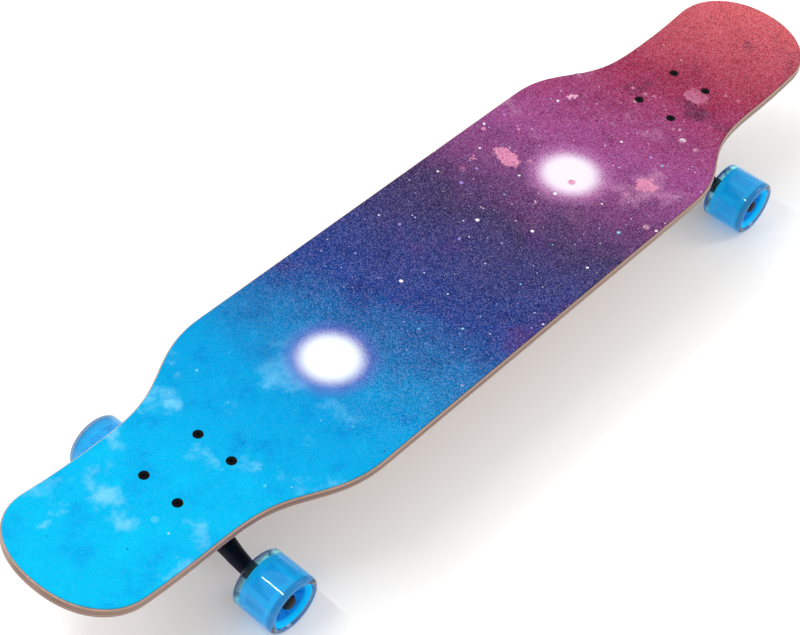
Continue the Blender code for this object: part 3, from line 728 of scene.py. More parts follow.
def print_finish(look):
    """Printed grip sheet: washes of colour under a fine clear grit, with painted glints and painted shade
    on the grit.
    """
    finish = Finish("printed_grip_sheet")
    art = Print(finish, look)
    art.washes()
    rear = finish.smooth(art.x, -0.14, -0.30)
    middle = finish.smooth(art.x, -0.20, -0.05) * finish.smooth(art.x, 0.20, 0.10)
    pink = finish.smooth(art.x, 0.10, 0.18) * finish.smooth(art.x, 0.36, 0.26)
    front = finish.smooth(art.x, 0.26, 0.36)
    art.clouds(rear, (0.230, 0.640, 0.900), 0.70, 0.0)
    art.clouds(rear, (0.001, 0.300, 0.720), 0.45, 3.0)
    art.clouds(middle, (0.080, 0.028, 0.180), 0.55, 6.0)
    art.clouds(pink, (0.600, 0.270, 0.460), 0.55, 9.0)
    art.clouds(front, (0.070, 0.016, 0.045), 0.70, 12.0)
    art.glow(-GLOW_PLACE, 0.0, GLOW_R, (0.86, 0.92, 0.98), (0.130, 0.130, 0.520))
    art.glow(GLOW_PLACE, 0.0, GLOW_R, (0.88, 0.78, 0.90), (0.560, 0.220, 0.480))
    art.drops()

    place = finish.place()
    sockets = {"Vector": art.flat, "Scale": 1.0 / look.grit_size}
    grit = finish.node("ShaderNodeTexVoronoi", sockets, voronoi_dimensions="2D").socket.node
    chance = finish.split(Wire(finish, grit.outputs["Color"]))
    grains = 1.0 - Wire(finish, grit.outputs["Distance"])
    coarse = finish.noise(place, 0.45 / look.grit_size, 2.0, 0.6)
    dim = 1.0 - finish.node("ShaderNodeRGBToBW", {0: art.tone})
    dark_area = finish.smooth(art.x, -0.26, -0.10, 0.12, 1.0) * finish.smooth(dim, 0.20, 0.75)
    # Painted highlight: glints of light off the grit, painted into the colour mostly where the print is
    # dark.
    glint = finish.smooth(chance[0], 0.66, 1.0) * dark_area
    art.paint(glint * 0.21, (0.62, 0.48, 0.76), "SCREEN")
    # Painted shade: darker pits between the grains, mostly where the print is dark.
    pit_shade = finish.smooth(chance[0], 0.42, 0.0) * dark_area
    art.paint(pit_shade * 0.80, (0.22, 0.18, 0.30), "MULTIPLY")
    art.paint(1.0, [look.print_density] * 3, "MULTIPLY")
    relief = finish.bump(grains * 0.6 + coarse * 0.4, 0.50, look.grit_height)
    rough = 0.85 - glint * 0.25
    return finish.surface(Base_Color=art.tone, Roughness=rough, Normal=relief, Specular_IOR_Level=0.03)


def casting_finish(look):
    """Painted cast aluminium: fine orange-peel with a few rubbed spots."""
    finish = Finish("painted_casting")
    place = finish.place()
    tone = wear(finish, look.casting, [c * 2.6 for c in look.casting], 0.6, 60.0)
    peel = finish.noise(place, 1500.0, 2.0, 0.55)
    sand = finish.noise(place, 260.0, 3.0, 0.6)
    rough = 0.30 + sand * 0.20
    relief = finish.bump(peel * 0.5 + sand * 0.5, 0.30, 0.00020)
    return finish.surface(Base_Color=tone, Roughness=rough, Normal=relief, Specular_IOR_Level=0.12)


def metal_finish(name, tone, rough, scratch=0.25):
    """Turned or plated metal with fine rings of tool marks and smudges."""
    finish = Finish(name)
    place = finish.place()
    marks = finish.noise(finish.stretch(place, (260, 2600, 260)), 1.0, 2.0, 0.6)
    smudge = finish.noise(place, 130.0, 4.0, 0.6)
    shade = finish.mix(finish.smooth(smudge, 0.40, 0.75) * 0.45, tone, [c * 0.62 for c in tone])
    gloss = rough + smudge * 0.18 + marks * 0.06
    relief = finish.bump(marks, scratch, 0.00006)
    return finish.surface(Base_Color=shade, Roughness=gloss, Metallic=1.0, Normal=relief)


def rubber_finish(look):
    finish = Finish("black_rubber")
    place = finish.place()
    tone = wear(finish, look.rubber, [c * 2.4 for c in look.rubber], 0.5, 90.0)
    grain = finish.noise(place, 1200.0, 3.0, 0.6)
    relief = finish.bump(grain, 0.35, 0.00020)
    return finish.surface(Base_Color=tone, Roughness=0.62 + grain * 0.2, Normal=relief)


def bushing_finish(look):
    """Cast urethane, slightly cloudy, with faint mould swirls and a faint painted glow."""
    finish = Finish("bushing_urethane")
    place = finish.place()
    swirl = finish.noise(finish.stretch(place, (60, 60, 190)), 1.0, 4.0, 0.6)
    tone = finish.mix(finish.smooth(swirl, 0.35, 0.75) * 0.5, look.bushing, [c * 1.6 for c in look.bushing])
    relief = finish.bump(finish.noise(place, 700.0, 2.0), 0.15, 0.00015)
    # Painted light: the small emission makes the bushings glow faintly.
    return finish.surface(
        Base_Color=tone, Roughness=0.30 + swirl * 0.15, Normal=relief, Coat_Weight=0.2,
        Emission_Color=tone, Emission_Strength=0.04,
    )


def urethane_finish(look):
    """Water-clear urethane with a polished skin and faint mould ripples."""
    finish = Finish("clear_urethane")
    place = finish.place()
    ripple = finish.noise(place, 46.0, 1.0, 0.55)
    fleck = finish.noise(place, 210.0, 2.0, 0.5)
    y = finish.split(place)[1]
    from_middle = finish.math("ABSOLUTE", finish.math("ABSOLUTE", y) - WHEEL_CENTRE_Y)
    tone = finish.mix(finish.smooth(ripple, 0.35, 0.75), look.urethane, [c * 0.94 for c in look.urethane])
    edge = finish.smooth(from_middle, CORE_HALF - 2 * MM, CORE_HALF + 1 * MM)
    tone = finish.mix(edge, tone, look.clear_edge)
    rough = 0.025 + finish.smooth(fleck, 0.55, 0.80) * 0.05
    relief = finish.bump(ripple, 0.08, 0.0004)
    return finish.surface(
        Base_Color=tone, Roughness=rough, Normal=relief, Transmission_Weight=1.0, IOR=1.46,
        Specular_IOR_Level=0.07,
    )


def core_finish(look):
    """Moulded blue core: bright barrel, with painted shade in its windows and towards the hub, and a
    painted glow.
    """
    finish = Finish("moulded_core")
    place = finish.place()
    x, y, z = finish.split(place)
    inward = finish.math("ABSOLUTE", finish.math("ABSOLUTE", y) - WHEEL_CENTRE_Y)
    axle = finish.math("ABSOLUTE", x) - WHEEL_CENTRE_X
    height = z - WHEEL_R
    radius = finish.math("SQRT", axle * axle + height * height)
    # Painted shade: the core is darkened towards the hub and in its windows, for the shade that falls in
    # these hollows.
    hub = finish.smooth(radius, CORE_R - 1.3 * MM, CORE_R - 4.5 * MM, 0.0, 1.0)
    barrel = finish.smooth(radius, CORE_R - look.window_deep, CORE_R + 0.2 * MM, 0.30, 0.0)
    deep = finish.math("MAXIMUM", hub, barrel)
    haze = finish.noise(place, 55.0, 3.0, 0.55)
    bright = finish.mix(finish.smooth(haze, 0.35, 0.75), look.core, [c * 1.12 for c in look.core])
    teal = finish.smooth(inward, CORE_HALF * 0.55, CORE_HALF, 0.0, 0.35)
    bright = finish.mix(teal, bright, (0.0, 0.48, 0.76))
    tone = finish.mix(deep, bright, look.core_shade)
    relief = finish.bump(finish.noise(place, 300.0, 1.0), 0.06, 0.00010)
    # Painted light: the emission makes the core glow, standing in for light that passes through the clear
    # urethane.
    return finish.surface(
        Base_Color=tone, Roughness=0.32 + haze * 0.12, Normal=relief, Specular_IOR_Level=0.06,
        Emission_Color=tone, Emission_Strength=0.32,
    )


# ================================================================================================
# The board's shape
# ================================================================================================
def half_width(s):
    """Half-width of the board at a distance s along its skin from the middle."""
    s = abs(s)
    t = min(max((s - SHOULDER_START) / (SHOULDER_END - SHOULDER_START), 0.0), 1.0)
    rise = t ** SHOULDER_SHARP
    narrow = rise / (rise + (1 - t) ** SHOULDER_SOFT)
    width = HALF_WIDTH + (NECK_HALF_WIDTH - HALF_WIDTH) * narrow
    v = min(max((s - TIP_START) / (HALF_LENGTH - TIP_START), 0.0), 1.0)
    return width * max(1 - v ** TIP_SQUARE, 0.0) ** (1 / TIP_SQUARE)


def skin_point(s, y, depth):
    """A place on the pressed board: s along it, y across it, depth below its upper face."""
    bend = max(abs(s) - KICK_START, 0.0) / KICK_RADIUS
    side = 1 if s >= 0 else -1
    x = min(abs(s), KICK_START) + KICK_RADIUS * sin(bend)
    z = KICK_RADIUS * (1 - cos(bend))
    lift = max(abs(y) - CONCAVE_FLAT, 0.0) / (HALF_WIDTH - CONCAVE_FLAT)
    z += CONCAVE_LIFT * lift ** 2
    return Vector((side * (x + sin(bend) * depth), y, z - cos(bend) * depth))


def board_stations():
    """Distances along the board at which its outline has points."""
    half = [SHOULDER_START * i / 8 for i in range(1, 8)]
    half += [SHOULDER_START + (SHOULDER_END - SHOULDER_START) * i / 40 for i in range(40)]
    half += [SHOULDER_END + (TIP_START - SHOULDER_END) * i / 10 for i in range(10)]
    reach = HALF_LENGTH - TIP_START
    half += [TIP_START + reach * sin(pi / 2 * i / 36) for i in range(36)]
    return [-s for s in reversed(half)] + [0.0] + half


def rim_point(s, inset):
    """The outline's left-hand point at station s, moved inwards by inset."""
    step = 0.05 * MM
    slope = (half_width(s + step) - half_width(s - step)) / (2 * step)
    size = sqrt(1 + slope * slope)
    return s + inset * slope / size, max(half_width(s) - inset / size, 0.2 * MM)


def board_mesh(name, rims, material):
    """A closed shell over the outline; rims are (inset, depth) rows from its top to its bottom."""
    bm = bmesh.new()
    across = [sin(pi / 2 * i / 9) for i in range(-8, 9)]
    rows = []
    for s in board_stations():
        side = [(*rim_point(s, inset), depth) for inset, depth in rims]
        (top_s, top_w, top_d), (low_s, low_w, low_d) = side[0], side[-1]
        loop = [(top_s, top_w * t, top_d) for t in across]
        loop += side
        loop += [(low_s, low_w * t, low_d) for t in reversed(across)]
        loop += [(a, -w, d) for a, w, d in reversed(side)]
        rows.append([bm.verts.new(skin_point(*place)) for place in loop])
    count = len(rows[0])
    for a, b in zip(rows, rows[1:]):
        for j in range(count):
            k = (j + 1) % count
            bm.faces.new((a[j], a[k], b[k], b[j]))
    wide = len(across)
    size = len(rims)
    for row, side in ((rows[0], -1), (rows[-1], 1)):
        tips = [bm.verts.new(skin_point(side * (HALF_LENGTH - inset), 0, depth)) for inset, depth in rims]
        right = row[wide:wide + size]
        left = list(reversed(row[2 * wide + size:]))
        for i in range(size - 1):
            bm.faces.new((right[i], right[i + 1], tips[i + 1], tips[i]))
            bm.faces.new((left[i + 1], left[i], tips[i], tips[i + 1]))
        top = [left[0]] + row[:wide] + [right[0]]
        low = [right[-1]] + row[wide + size:2 * wide + size] + [left[-1]]
        for edge, tip in ((top, tips[0]), (low, tips[-1])):
            for a, b in zip(edge, edge[1:]):
                bm.faces.new((a, b, tip))
    return to_object(name, bm, material, 50.0)


def bolt_places():
    """The middle of each bolt, read from the CAD bolts."""
    places = []
    for end in ENDS:
        for i in (1, 2, 3, 4):
            low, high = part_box(f"deck_bolt_{end}_{i}")
            places.append(((low.x + high.x) / 2, (low.y + high.y) / 2))
    return places


def drilled(board, name, profile):
    """The board with a round hole of that profile, heights upwards, at each bolt."""
    upright = Matrix.Rotation(pi / 2, 4, "X")
    bm = bmesh.new()
    for x, y in bolt_places():
        part = bmesh.new()
        lathe(part, profile, even_angles(40), closed=False)
        bmesh.ops.transform(part, matrix=Matrix.Translation((x, y, 0)) @ upright, verts=part.verts)
        bmesh.ops.recalc_face_normals(part, faces=part.faces)
        mesh = bpy.data.meshes.new("one hole")
        part.to_mesh(mesh)
        part.free()
        bm.from_mesh(mesh)
        bpy.data.meshes.remove(mesh)
    return cut_away(board, to_object("hole cutters", bm), name, 50.0)


def finish_piece(obj, body, slot_name, *nodes):
    """Ride on a body and stand for CAD nodes; the slot name is not used."""
    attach(obj, body)
    if nodes:
        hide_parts(*nodes)


def repaint(node, material):
    """Give a CAD node a finished material."""
    mesh = frame["nodes"][node].data
    mesh.materials.clear()
    mesh.materials.append(material)


def shared(name, make):
    """A material by name, made the first time it is asked for."""
    found = bpy.data.materials.get(name)
    return found or make()


# ================================================================================================
# Operators
# ================================================================================================
class MakeDeck(bpy.types.Operator):
    """Pressed seven-ply deck with rounded edges and countersunk holes"""
    bl_idname = "longboard.make_deck"
    bl_label = "Deck"

    def execute(self, context):
        rims = arc_rims(TOP_ROUND, BOTTOM_ROUND, DECK_THICK)
        board = board_mesh("deck shell", rims, maple_finish(context.scene.longboard_board))
        board.data.transform(Matrix.Translation((0, 0, DECK_HIGH)))
        seat = DECK_HIGH + LAYER_GAP + GRIP_THICK - 0.5 * MM
        wide, bore = BOLT_HEAD_R + HOLE_GAP, BOLT_R + HOLE_GAP
        above, below = DECK_HIGH + 3 * MM, DECK_LOW - 3 * MM
        profile = [
            (above, 0.0), (above, wide), (seat, wide), (seat - BOLT_HEAD_DEEP - HOLE_GAP, bore),
            (below, bore), (below, 0.0),
        ]
        deck = drilled(board, "deck_seven_ply", profile)
        finish_piece(deck, "board", "maple_ply", "deck")
        return {"FINISHED"}


def arc_rims(top, bottom, thick, steps=5):
    """Rows (inset, depth) that round a board's upper and lower edges."""
    quarter = [pi / 2 * i / steps for i in range(steps + 1)]
    rims = [(top * (1 - sin(a)), top * (1 - cos(a))) for a in quarter]
    rows = 6
    span = thick - top - bottom
    rims += [(0.0, top + span * i / rows) for i in range(1, rows)]
    rims += [(bottom * (1 - cos(a)), thick - bottom * (1 - sin(a))) for a in quarter]
    return rims


class MakeGrip(bpy.types.Operator):
    """Printed grip sheet on the deck's upper face"""
    bl_idname = "longboard.make_grip"
    bl_label = "Printed grip"

    def execute(self, context):
        soft = 0.3 * MM
        rims = [(GRIP_INSET + soft, 0.0), (GRIP_INSET, soft), (GRIP_INSET, GRIP_THICK)]
        board = board_mesh("grip shell", rims, print_finish(context.scene.longboard_board))
        board.data.transform(Matrix.Translation((0, 0, GRIP_HIGH)))
        wide = BOLT_HEAD_R + HOLE_GAP
        above, below = GRIP_HIGH + 3 * MM, GRIP_LOW - 3 * MM
        profile = [(above, 0.0), (above, wide), (below, wide), (below, 0.0)]
        grip = drilled(board, "grip_sheet", profile)
        finish_piece(grip, "board", "printed_grip", "grip_tape")
        return {"FINISHED"}


class MakeBolts(bpy.types.Operator):
    """Eight flat-head deck bolts with cross recesses, threads and lock nuts"""
    bl_idname = "longboard.make_bolts"
    bl_label = "Deck bolts"

    def execute(self, context):
        look = context.scene.longboard_board
        upright = Matrix.Rotation(pi / 2, 4, "X")
        low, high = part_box("deck_bolt_front_1")
        bolt = turned("one bolt", self.bolt_profile(low.z, high.z), even_angles(28), None, 30.0,
                      upright, closed=False)
        bolt = cut_away(bolt, self.cross(high.z), "one bolt", 30.0, True)
        nut_top = min(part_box("riser_pad_front")[0].z, DECK_LOW) - 6.6 * MM
        bm = bmesh.new()
        lathe(bm, self.nut_profile(nut_top), HEX_ANGLES, hexagon(4.33 * MM))
        bmesh.ops.transform(bm, matrix=upright, verts=bm.verts)
        bmesh.ops.recalc_face_normals(bm, faces=bm.faces)
        bm.from_mesh(bolt.data)
        whole = to_object("bolt and nut", bm, None, 30.0)
        drop(bolt)
        black = metal_finish("bolt_oxide", look.bolt_colour, 0.42)
        seat = new_object("bolt places", bpy.data.meshes.new("bolt places"))
        places = bolt_places()
        base = (max(x for x, _ in places) + min(x for x, _ in places if x > 0)) / 2
        apply_group(seat, bolt_pattern_tree(), {
            "Bolt": whole, "Wheelbase": 2 * base, "Spacing X": BOLT_SPACING[0],
            "Spacing Y": BOLT_SPACING[1], "Seed": look.bolt_twist, "Material": black,
        })
        bolts = baked(seat, "deck_bolts", 30.0)
        drop(whole)
        nodes = [f"deck_bolt_{end}_{i}" for end in ENDS for i in (1, 2, 3, 4)]
        finish_piece(bolts, "board", "black_steel", *nodes)
        return {"FINISHED"}

    def bolt_profile(self, low, high):
        """Slightly domed flat head, countersink, and a thread to the tip."""
        rim = high - 0.3 * MM
        neck = rim - BOLT_HEAD_DEEP
        profile = [
            (high, 0.0), (high, BOLT_HEAD_R * 0.7), (high - 0.08 * MM, BOLT_HEAD_R * 0.93),
            (rim, BOLT_HEAD_R), (rim - 0.15 * MM, BOLT_HEAD_R), (neck, BOLT_R),
        ]
        profile += thread(neck - 4 * MM, low + 0.4 * MM, BOLT_R, 0.8 * MM, 0.25 * MM)
        return profile + [(low, BOLT_R - 0.5 * MM), (low, 0.0)]

    def cross(self, high):
        """Two tapered blades that cut the recess in the head."""
        arm, thin, top = 2.7 * MM, 0.42 * MM, 0.4 * MM
        bm = bmesh.new()
        for turn in (0.0, pi / 2):
            blade = bmesh.ops.create_cube(bm, size=1.0)["verts"]
            for v in blade:
                taper = 1.0 if v.co.z > 0 else 0.45
                v.co = Vector((v.co.x * 2 * arm * taper, v.co.y * 2 * thin, v.co.z * 3.0 * MM))
            bmesh.ops.rotate(bm, verts=blade, cent=(0, 0, 0), matrix=Matrix.Rotation(turn, 3, "Z"))
        bmesh.ops.translate(bm, verts=bm.verts, vec=(0, 0, high + top - 0.6 * MM))
        return to_object("cross recess", bm)

    def nut_profile(self, top):
        """Hexagonal lock nut with a round collar below."""
        low = top - 5.0 * MM
        bore = BOLT_R - 0.2 * MM
        return [
            (top, bore), (top, 4.5 * MM), (top - 0.4 * MM, 5.0 * MM), (low + 1.6 * MM, 5.0 * MM),
            (low + 1.3 * MM, 4.5 * MM), (low + 0.2 * MM, 4.0 * MM), (low, 3.8 * MM), (low, bore),
        ]


def softened(node, name, material, voxel):
    """A CAD casting with its edges rounded, from a merged copy of the node."""
    bm = bmesh.new()
    bm.from_mesh(frame["nodes"][node].data)
    copy = to_object(f"{name} copy", bm)
    remesh = copy.modifiers.new("grid", "REMESH")
    remesh.mode = "VOXEL"
    remesh.voxel_size = voxel
    smooth = copy.modifiers.new("round", "SMOOTH")
    smooth.factor = 0.5
    smooth.iterations = 5
    thin = copy.modifiers.new("thin", "DECIMATE")
    thin.ratio = 0.28
    made = baked(copy, name, 60.0)
    made.data.materials.clear()
    made.data.materials.append(material)
    return made


class MakeCastings(bpy.types.Operator):
    """Hangers and baseplates with the rounded edges of a casting, on rubber risers"""
    bl_idname = "longboard.make_castings"
    bl_label = "Hangers, baseplates and risers"

    def execute(self, context):
        look = context.scene.longboard_truck
        paint = casting_finish(look)
        rubber = shared("black_rubber", lambda: rubber_finish(look))
        voxel = look.voxel * 1.0
        for end in ENDS:
            hanger = softened(f"hanger_{end}", f"hanger_casting_{end}", paint, voxel)
            finish_piece(hanger, f"hanger_{end}", "black_cast", f"hanger_{end}")
            plate = softened(f"baseplate_{end}", f"baseplate_casting_{end}", paint, voxel)
            finish_piece(plate, "board", "black_cast", f"baseplate_{end}")
            repaint(f"riser_pad_{end}", rubber)
            repaint(f"pivot_cup_{end}", rubber)
        return {"FINISHED"}


class MakeKingpins(bpy.types.Operator):
    """Kingpins with their threads, lock nuts and washers"""
    bl_idname = "longboard.make_kingpins"
    bl_label = "Kingpins, nuts and washers"

    def execute(self, context):
        look = context.scene.longboard_truck
        steel = shared("plated_steel", lambda: metal_finish("plated_steel", look.steel, 0.24))
        oxide = metal_finish("kingpin_oxide", look.oxide, 0.38)
        gap = LAYER_GAP
        seat = RING_HALF + gap + BUSHING_TALL + gap + WASHER_THICK + gap
        head = -(seat + 8.5 * MM) - gap
        low = RING_HALF + gap + CONE_TALL + gap
        nut_start = low + WASHER_THICK + gap
        tip = low + WASHER_THICK + 11 * MM
        bore = KINGPIN_R + gap
        for end in ENDS:
            matrix = kingpin_frame(end)
            profile = [
                (head - 5.5 * MM, 0.0), (head - 5.5 * MM, 6.2 * MM), (head - 4.7 * MM, 8.0 * MM),
                (head, 8.0 * MM), (head, KINGPIN_R), (nut_start - 2 * MM, KINGPIN_R),
            ]
            profile += thread(nut_start - 1 * MM, tip - 0.8 * MM, KINGPIN_R, 0.9 * MM)
            profile += [(tip, KINGPIN_R - 0.9 * MM), (tip, 0.0)]
            pin = turned(f"kingpin_bolt_{end}", profile, HEX_ANGLES, oxide, 30.0, matrix,
                         hexagon(6.9 * MM), closed=False)
            finish_piece(pin, "board", "black_steel", f"kingpin_{end}")
            top = nut_start + NUT_TALL
            nut = [
                (nut_start, bore), (nut_start, 7.2 * MM), (nut_start + 0.6 * MM, 8.0 * MM),
                (nut_start + 5.0 * MM, 8.0 * MM), (nut_start + 5.4 * MM, 7.0 * MM),
                (nut_start + 5.6 * MM, 6.4 * MM), (top - 0.5 * MM, 6.2 * MM), (top, 5.6 * MM), (top, bore),
            ]
            made = turned(f"kingpin_locknut_{end}", nut, HEX_ANGLES, steel, 30.0, matrix,
                          hexagon(6.93 * MM))
            finish_piece(made, "board", "steel", f"kingpin_nut_{end}")
            for where, start, wide in (
                ("roadside", low, 10.0 * MM), ("boardside", -(seat - gap), BUSHING_R + 0.6 * MM),
            ):
                finish = start + WASHER_THICK
                edge = 0.4 * MM
                ring = [
                    (start, bore), (start, wide - edge), (start + edge, wide), (finish - edge, wide),
                    (finish, wide - edge), (finish, bore),
                ]
                washer = turned(f"washer_{where}_{end}", ring, even_angles(56), steel, 30.0, matrix)
                finish_piece(washer, "board", "steel", f"cup_washer_{where}_{end}")
        return {"FINISHED"}


class MakeBushings(bpy.types.Operator):
    """Barrel and cone bushings between the board and the hanger"""
    bl_idname = "longboard.make_bushings"
    bl_label = "Bushings"

    def execute(self, context):
        soft = bushing_finish(context.scene.longboard_truck)
        near = RING_HALF + LAYER_GAP
        bore = KINGPIN_R + LAYER_GAP
        shapes = {
            "boardside": [
                (-near, bore), (-near, BUSHING_R - 1.5 * MM),
                *arc((-near - 1.5 * MM, BUSHING_R - 1.5 * MM), 1.5 * MM, 90, 0, 4),
                (-near - 5 * MM, BUSHING_R - 0.1 * MM), (-near - 8 * MM, BUSHING_R - 0.1 * MM),
                *arc((-near - BUSHING_TALL + 0.8 * MM, BUSHING_R - 0.8 * MM), 0.8 * MM, 0, -90, 4),
                (-near - BUSHING_TALL, bore),
            ],
            "roadside": [
                (near, bore), *arc((near + 0.8 * MM, BUSHING_R - 0.8 * MM), 0.8 * MM, -90, 0, 4),
                (near + 2.5 * MM, BUSHING_R), (near + CONE_TALL - 0.8 * MM, 9.3 * MM),
                (near + CONE_TALL, 8.4 * MM), (near + CONE_TALL, bore),
            ],
        }
        for end in ENDS:
            matrix = kingpin_frame(end)
            for where, profile in shapes.items():
                name = f"bushing_{where}_{end}"
                made = turned(f"urethane_{name}", profile, even_angles(56), soft, 50.0, matrix)
                sign = 1 if where == "roadside" else -1
                tall = CONE_TALL if where == "roadside" else BUSHING_TALL
                start = matrix @ Vector((0, sign * (near + tall), 0))
                stop = matrix @ Vector((0, sign * near, 0))
                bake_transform(made)
                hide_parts(name)
        return {"FINISHED"}


class MakeAxles(bpy.types.Operator):
    """Axles with threaded ends, lock nuts and speed washers"""
    bl_idname = "longboard.make_axles"
    bl_label = "Axles and nuts"

    def execute(self, context):
        look = context.scene.longboard_truck
        dark = metal_finish("axle_oxide", [c * 0.07 for c in look.steel], 0.38)
        nut_start = BEARING_APART / 2 + BEARING_WIDE + 0.7 * MM
        for end in ENDS:
            place = Vector(JOINTS[f"spin_{end}_left"]["pos_m"])
            matrix = Matrix.Translation((place.x, 0, place.z))
            right = [(AXLE_HALF - 12 * MM, AXLE_R)]
            right += thread(AXLE_HALF - 11.5 * MM, AXLE_HALF - 0.6 * MM, AXLE_R, 0.9 * MM)
            right += [(AXLE_HALF, AXLE_R - 0.8 * MM), (AXLE_HALF, 0.0)]
            profile = [(-y, r) for y, r in reversed(right)] + right
            axle = turned(f"axle_rod_{end}", profile, even_angles(36), dark, 30.0, matrix, closed=False)
            finish_piece(axle, f"hanger_{end}", "steel", f"axle_{end}")
            for side in SIDES:
                bore = AXLE_R + LAYER_GAP
                low, top = nut_start + 1.2 * MM, nut_start + 7.2 * MM
                washer = [
                    (nut_start, bore), (nut_start, 6.0 * MM), (nut_start + 0.2 * MM, 6.2 * MM),
                    (nut_start + 0.8 * MM, 6.2 * MM), (nut_start + 1.0 * MM, 6.0 * MM),
                ]
                nut = [
                    (low, 6.3 * MM), (low + 0.6 * MM, AXLE_NUT_R), (top - 2.0 * MM, AXLE_NUT_R),
                    (top - 1.5 * MM, 6.1 * MM), (top - 1.3 * MM, 5.7 * MM), (top - 0.4 * MM, 5.5 * MM),
                    (top, 5.0 * MM), (top, bore),
                ]
                name = f"axle_nut_{end}_{side}"
                made = turned(f"lock_{name}", washer + nut, HEX_ANGLES, dark, 30.0,
                              wheel_frame(end, side), hexagon(6.235 * MM))
                finish_piece(made, f"hanger_{end}", "steel", name)
        return {"FINISHED"}


def barrel_angles(count):
    """Angles round the core: each window's borders, with a few steps between them."""
    pitch = 2 * pi / count
    shares = (0.16, 0.19, 0.30, 0.42, 0.5, 0.58, 0.70, 0.81, 0.84, 0.92, 1.0, 1.08)
    return [pitch * (i + part) for i in range(count) for part in shares]


class MakeWheels(bpy.types.Operator):
    """Clear urethane tyres moulded round blue cores with windows and ribs"""
    bl_idname = "longboard.make_wheels"
    bl_label = "Wheels"

    def execute(self, context):
        look = context.scene.longboard_wheel
        clear = urethane_finish(look)
        blue = core_finish(look)
        tree = rib_tree()
        for end in ENDS:
            for side in SIDES:
                matrix = wheel_frame(end, side)
                body = f"wheel_{end}_{side}"
                name = f"tyre_{end}_{side}"
                tyre = turned(name, self.tyre_profile(), even_angles(128), clear, 35.0, matrix)
                finish_piece(tyre, body, "clear_urethane", f"wheel_tyre_{end}_{side}")
                core = self.core(look, blue, tree, matrix, f"core_{end}_{side}")
                finish_piece(core, body, "blue_core", f"wheel_core_{end}_{side}")
        return {"FINISHED"}

    def tyre_profile(self):
        """Rounded shoulders outside, a filleted lip and a short flare down to the core."""
        half, corner = WHEEL_HALF, WHEEL_CORNER
        lip = 0.7 * MM
        right = arc((half - corner, WHEEL_R - corner), corner, 0, 90, 8)
        right += arc((half - lip, 24.9 * MM), lip, 90, 150, 3)
        foot = CORE_R + 0.3 * MM
        hidden = 20.9 * MM
        left = [(-y, r) for y, r in reversed(right)]
        right += [(CORE_HALF, foot), (CORE_HALF - 0.5 * MM, hidden)]
        return [(-CORE_INNER + 0.5 * MM, hidden), (-CORE_INNER, foot)] + left + right

    def core(self, look, material, tree, matrix, name):
        wide, skin = 11.0 * MM, CORE_R + 0.35 * MM
        seat = BEARING_R + LAYER_GAP
        seat_end = BEARING_APART / 2 + BEARING_WIDE + LAYER_GAP
        stop = BEARING_APART / 2 - LAYER_GAP
        dish = [
            (14.5 * MM, 16.5 * MM), (13.2 * MM, 14.0 * MM), (seat_end + 0.3 * MM, 13.0 * MM),
            (seat_end + 0.3 * MM, seat + 0.3 * MM), (seat_end, seat), (stop, seat),
            (stop, BEARING_R - 1.6 * MM),
        ]
        right = [
            (0.0, skin), (wide, skin), (wide + 0.4 * MM, skin + 1e-6), (CORE_HALF, skin + 1e-6),
            (CORE_HALF + 2.5 * MM, CORE_R + 1.25 * MM), (CORE_HALF + 2.6 * MM, CORE_R + 1.0 * MM),
            (CORE_HALF, CORE_R - 0.6 * MM), (CORE_HALF - 0.4 * MM, 20.0 * MM), *dish,
        ]
        left = [
            (wide, skin), (wide + 0.4 * MM, skin + 1e-6), (CORE_INNER, skin + 1e-6),
            (CORE_INNER + 0.3 * MM, skin - 0.3 * MM), (CORE_INNER + 0.3 * MM, 20.5 * MM),
            (CORE_INNER, 20.0 * MM), *dish,
        ]
        left = [(-y, r) for y, r in reversed(left)]
        pitch = 2 * pi / look.windows

        def relief(along, radius, angle):
            part = (angle % pitch) / pitch
            if abs(along) <= wide and radius == skin and 0.185 < part < 0.815:
                return along, radius - look.window_deep
            return along, radius

        angles = barrel_angles(look.windows)
        core = turned("core blank", left + right, angles, material, 30.0, matrix, relief)
        rib = self.rib(matrix)
        apply_group(core, tree, {
            "Rib": rib, "Count": look.ribs, "Centre": tuple(matrix.translation), "Material": material,
        })
        made = baked(core, name, 30.0)
        drop(rib)
        return made

    def rib(self, matrix):
        """One radial rib for each face of the core, centred on the axle."""
        bm = bmesh.new()
        thin = 0.8 * MM
        outline = [
            (12.6 * MM, 12.4 * MM), (12.6 * MM, 13.9 * MM), (20.2 * MM, 18.2 * MM),
            (20.2 * MM, 12.4 * MM),
        ]
        for sign in (1, -1):
            sides = [
                [bm.verts.new((x, sign * y, radius)) for radius, y in outline] for x in (-thin, thin)
            ]
            bm.faces.new(sides[0])
            bm.faces.new(sides[1])
            for i in range(4):
                j = (i + 1) % 4
                bm.faces.new((sides[0][i], sides[0][j], sides[1][j], sides[1][i]))
        bmesh.ops.bevel(bm, geom=bm.edges, offset=0.25 * MM, segments=2, affect="EDGES")
        return to_object("one rib", bm, None, 30.0, matrix.to_3x3().to_4x4())


